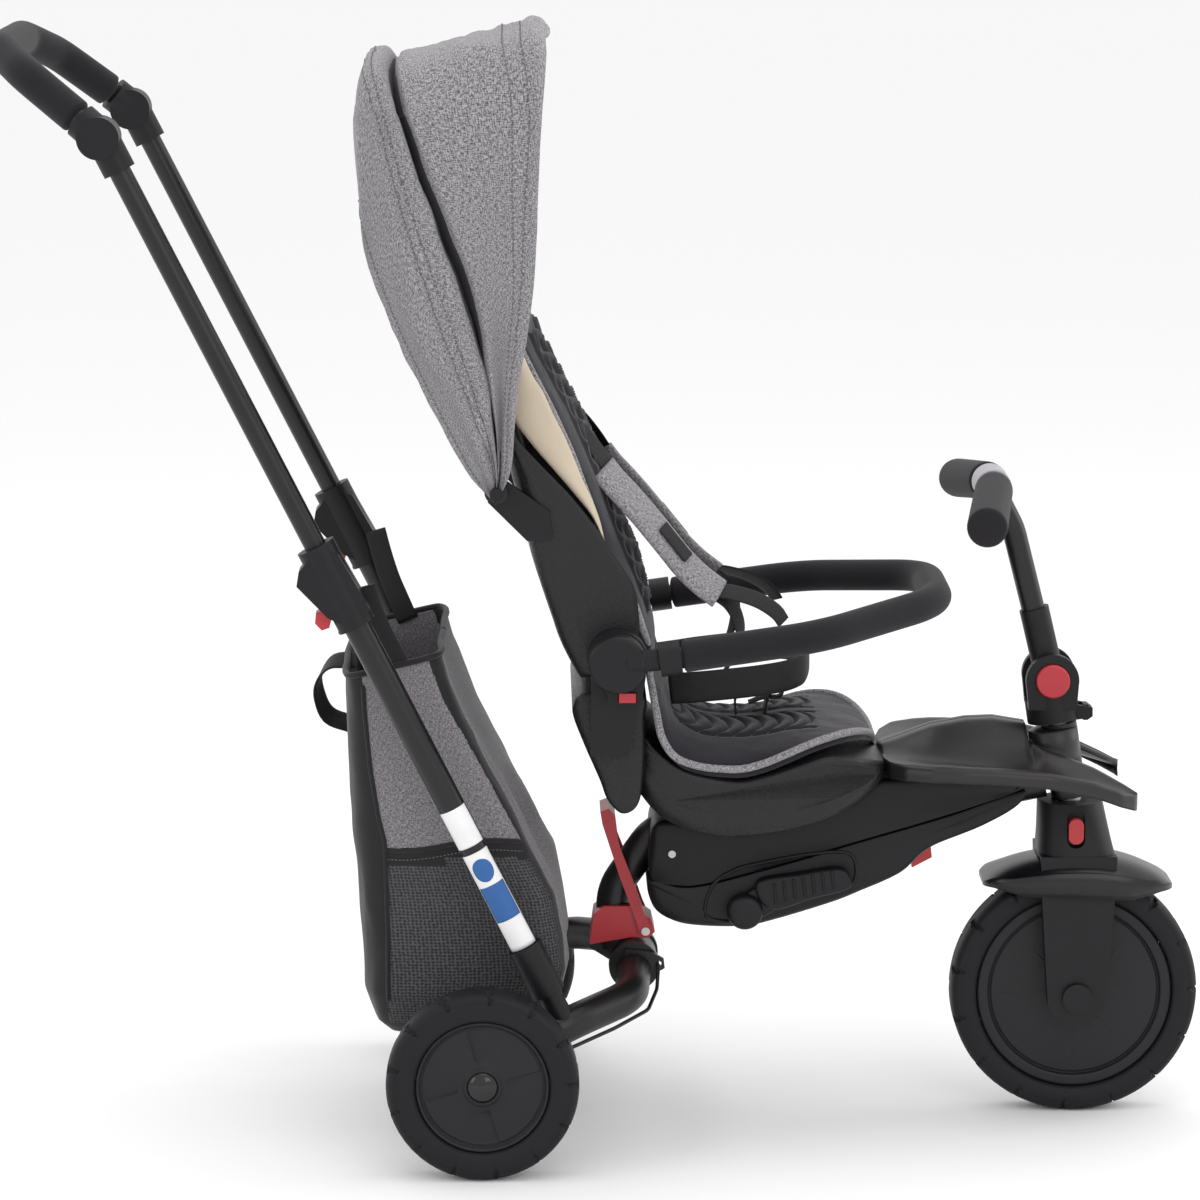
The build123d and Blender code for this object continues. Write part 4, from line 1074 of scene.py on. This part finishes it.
# ---------------------------------------------------------------------------
# Fender. A glossy bell-shaped cap on the fork's neck that hangs over the tyre
# on both sides, with its underside arched clear of the wheel.
BRIM_TOP = [(357, 227), (366, 234), (384, 242), (406, 248), (430, 251), (462, 251), (486, 248), (508, 241),
            (526, 232), (537, 224)]
BRIM_LOW = [(357, 223), (366, 223), (394, 217), (446, 215), (496, 213), (524, 219), (537, 220)]
WHEEL_X, WHEEL_Z, WHEEL_GAP = 446.0, 117.5, 123.0
BRIM_HALF, BRIM_CELLS = 47, 49
top_rows, low_rows = [], []
for x, top in smooth_rows(BRIM_TOP, 8):
    low = read_off(BRIM_LOW, x)
    ends = min(1.0, math.sqrt(max(0.0, 1 - abs((x - 447) / 90.5) ** 3.2)) + 0.02)
    y = np.linspace(-BRIM_HALF, BRIM_HALF, BRIM_CELLS) * (0.35 + 0.65 * ends)
    crown = (np.abs(y) / BRIM_HALF) ** 3 * min(12.0, (top - low) * 0.55)
    arc = math.sqrt(max(0.0, WHEEL_GAP ** 2 - (x - WHEEL_X) ** 2)) + WHEEL_Z
    under = np.where(np.abs(y) < 25, min(max(low, arc), top - 3), low)
    row = np.full(BRIM_CELLS, x)
    top_rows.append(np.stack([row, y, top - crown], -1))
    low_rows.append(np.stack([row, y * 0.985, np.minimum(under, top - crown - 1)], -1))
cap_gloss = coat_of("fender_plastic", PLASTIC, 12.0, (0.24, 0.34), specular_ior_level=0.4)
cap = pillow("fender_cap", np.array(top_rows), np.array(low_rows))
finished(cap, cap_gloss, "steering", "black_plastic", "fender")

# ---------------------------------------------------------------------------
# Body, seat shells and pedals. Smooth mouldings in halves, screwed together:
# the body with its parting line, the seat pan, the lower seat back, and the
# pedals stowed in the body's sides, each with seven ribs.


def outline_of(points, step=3.0, smooth=8):
    """A smooth closed outline through (x, z) points, evenly stepped; a third value is the rounding there."""
    pts = np.array([(*p, 6.0) if len(p) == 2 else p for p in points], float)
    loop = smooth_rows(np.concatenate([pts[-1:], pts, pts[:2]]), smooth)
    return stepped(loop[smooth:(len(pts) + 1) * smooth + 1], step)[:-1]


def moulding(name, points, half, y_middle=0.0, crown=0.6):
    """A moulded piece with this side outline and rounded edges; half(x) is half its width."""
    curve = outline_of(points)
    flat, soft = curve[:, :2], np.clip(curve[:, 2], 0.3, 20)
    along = np.roll(flat, -1, 0) - np.roll(flat, 1, 0)
    area = (flat[:, 0] * np.roll(flat[:, 1], -1) - np.roll(flat[:, 0], -1) * flat[:, 1]).sum()
    normal = np.stack([along[:, 1], -along[:, 0]], -1) * math.copysign(1, area)
    normal /= np.maximum(np.linalg.norm(normal, axis=1, keepdims=True), 1e-9)
    rows = [(soft * 1.6, np.full_like(soft, -crown * 0.6))]
    rows += [(soft * (1 - math.sin(a)), soft * (1 - math.cos(a))) for a in np.linspace(0, 1, 6) * math.pi / 2]
    layers = []
    for sign, order in ((-1, rows), (1, rows[::-1])):
        for inset, drop in order:
            at = flat - normal * inset[:, None]
            wide = half(at[:, 0]) if callable(half) else np.full(len(at), float(half))
            y = y_middle + sign * (wide - np.minimum(drop, wide - 0.5))
            layers.append(np.stack([at[:, 0], y, at[:, 1]], -1))
    return outward(skin(name, np.array(layers), close_across=True, caps=True))


def body_half(x):
    """Half the body's width: widest under the seat, narrow at the steering head."""
    return np.interp(x, [30, 44, 70, 280, 330, 372, 400], [46, 54, 58, 58, 53, 44, 36])


SEAM = [(42, 236), (68, 231), (94, 233), (144, 246), (186, 258), (228, 271), (276, 285), (322, 298),
        (390, 318)]
UPPER = [(398, 326, 3), (396, 333, 4), (330, 335, 6), (258, 333, 6), (233, 318, 6), (177, 296, 6),
         (122, 287, 6), (85, 291, 6), (48, 292, 6), (40, 268, 6)]
LOWER = [(38, 226, 6), (46, 206, 9), (66, 195, 10), (94, 191, 10), (130, 191, 10), (158, 197, 10),
         (210, 213, 10), (237, 224, 9), (276, 242, 9), (304, 266, 8), (355, 286, 6), (388, 304, 4)]
upper_shell = moulding("body_shell_upper", [(x, z + 0.8, 1.0) for x, z in SEAM] + UPPER, body_half)
lower_shell = moulding("body_shell_lower", [(x, z - 0.8, 1.0) for x, z in SEAM[::-1]] + LOWER, body_half)
finished(upper_shell, moulded, "chassis", "black_plastic", "body_upper_shell")
finished(lower_shell, moulded, "chassis", "black_plastic", "body_lower_shell")
WELL = [(92, 206), (99, 232), (120, 247), (146, 254), (190, 262), (226, 263), (234, 246), (226, 230),
        (190, 219), (156, 207), (128, 198), (104, 198)]


def pan_half(x):
    """Half the seat pan's width, rounded off at its front and back."""
    out = np.clip(np.abs(x - 134) - 56, 0, 69.5)
    return 54 + np.sqrt(70 ** 2 - out ** 2)


PAN = [(14, 352, 6), (29, 330, 10), (50, 309, 12), (84, 295, 14), (122, 291, 14), (177, 300, 12),
       (232, 320, 10), (256, 338, 6), (259, 352, 4), (240, 362, 4), (204, 368, 4), (177, 361, 4),
       (146, 351, 4), (122, 346, 4), (92, 350, 4), (66, 358, 4), (44, 374, 4), (30, 388, 4), (14, 384, 5)]
BACK_BOX = [(-24, 427, 6), (-32, 416, 8), (-32, 404, 12), (-22, 378, 10), (-8, 346, 8), (0, 326, 5),
            (14, 314, 4), (29, 326, 4), (34, 372, 6), (34, 404, 6), (34, 424, 6), (10, 429, 5)]
BACK_BOX_HALF = 118.0
seat_pan = moulding("seat_pan_moulding", PAN, pan_half)
finished(seat_pan, speckled, "chassis", "speckled_plastic", "seat_pan")
seat_back = moulding("seat_back_moulding", BACK_BOX, BACK_BOX_HALF)
finished(seat_back, speckled, "chassis", "speckled_plastic", "seat_back_lower")

PLATE = [(142, 240, 4), (180, 247, 4), (216, 252, 4), (227, 244, 4), (226, 232, 4), (190, 222, 4),
         (158, 212, 4), (142, 222, 4)]
LINK = [(126, 198, 3), (128, 224, 3), (156, 238, 3), (162, 214, 3)]
KNOB = [(129 + 17 * math.cos(a), 210 + 17 * math.sin(a), 7) for a in np.arange(16) * math.pi / 8]
PEDAL_RIBS = 7
well_line = outline_of(WELL)
for s, side in SIDES:
    pedal = f"pedal_{side}"
    rim_way = [(x, s * 58.0, z) for x, z, _ in (*well_line, well_line[0])]
    finished(hose(f"pedal_well_rim_{side}", rim_way, 1.8, sides=10), moulded, "chassis", "black_plastic")
    plate = moulding(f"pedal_plate_{side}", PLATE, 8.0, y_middle=s * 68.0)
    finished(plate, moulded, pedal, "black_plastic", pedal)
    knob = moulding(f"pedal_knob_{side}", KNOB, 9.5, y_middle=s * 69.5)
    finished(knob, moulded, pedal, "black_plastic")
    link = moulding(f"pedal_link_{side}", LINK, 5.0, y_middle=s * 65.0)
    finished(link, moulded, pedal, "black_plastic")
    ribs = [[(158 + 9 * k, s * 76.4, 219 + 2.3 * k), (156 + 9 * k, s * 76.4, 237 + 2.0 * k)]
            for k in range(PEDAL_RIBS)]
    rib_row = bead_run(f"pedal_ribs_{side}", ribs, 1.5, (3.2, 2.4, 3.0), moulded)
    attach(rib_row, pedal)

# ---------------------------------------------------------------------------
# Labels. Two printed paper labels wrapped on the right lower handle tube: a
# plain white one, and a white one with a plain blue disc and a blue panel.
LEAN = math.radians(26.75)
TUBE_RADIUS, TUBE_Y, LABEL_PAPER = 12.5, -176, 0.25
label_paper = coat_of("label_paper", (0.78, 0.77, 0.78), 30.0, (0.4, 0.5), spread=0.04)
label_blue = coat_of("label_blue", (0.015, 0.10, 0.32), 30.0, (0.4, 0.5), spread=0.06)


def on_tube(z, turn, grow):
    """A point on the right lower handle tube, turned from its -Y side."""
    r = TUBE_RADIUS + grow
    x = -58 - (z - 165) * math.tan(LEAN)
    side = r * math.sin(turn)
    return (x + side * math.cos(LEAN), TUBE_Y - r * math.cos(turn), z + side * math.sin(LEAN))


LABELS = (("label_plain", 300, 334, 1.25, 0.35, label_paper),
          ("label_long", 205, 294, 1.25, 0.35, label_paper),
          ("label_panel", 232, 264, 1.1, 0.6, label_blue),
          ("label_disc", 268, 288, 0.78, 0.6, label_blue))
for name, z0, z1, reach, grow, paint in LABELS:
    rows = []
    for z in np.linspace(z0, z1, 24):
        share = (z - z0) / (z1 - z0) * 2 - 1
        wide = reach * (math.sqrt(max(0.02, 1 - share * share)) if name == "label_disc" else 1)
        rows.append([on_tube(z, a, grow) for a in np.linspace(-wide, wide, 20)])
    label = with_thickness(skin(name, rows), LABEL_PAPER)
    finished(label, paint, "rear_frame", "black_steel")
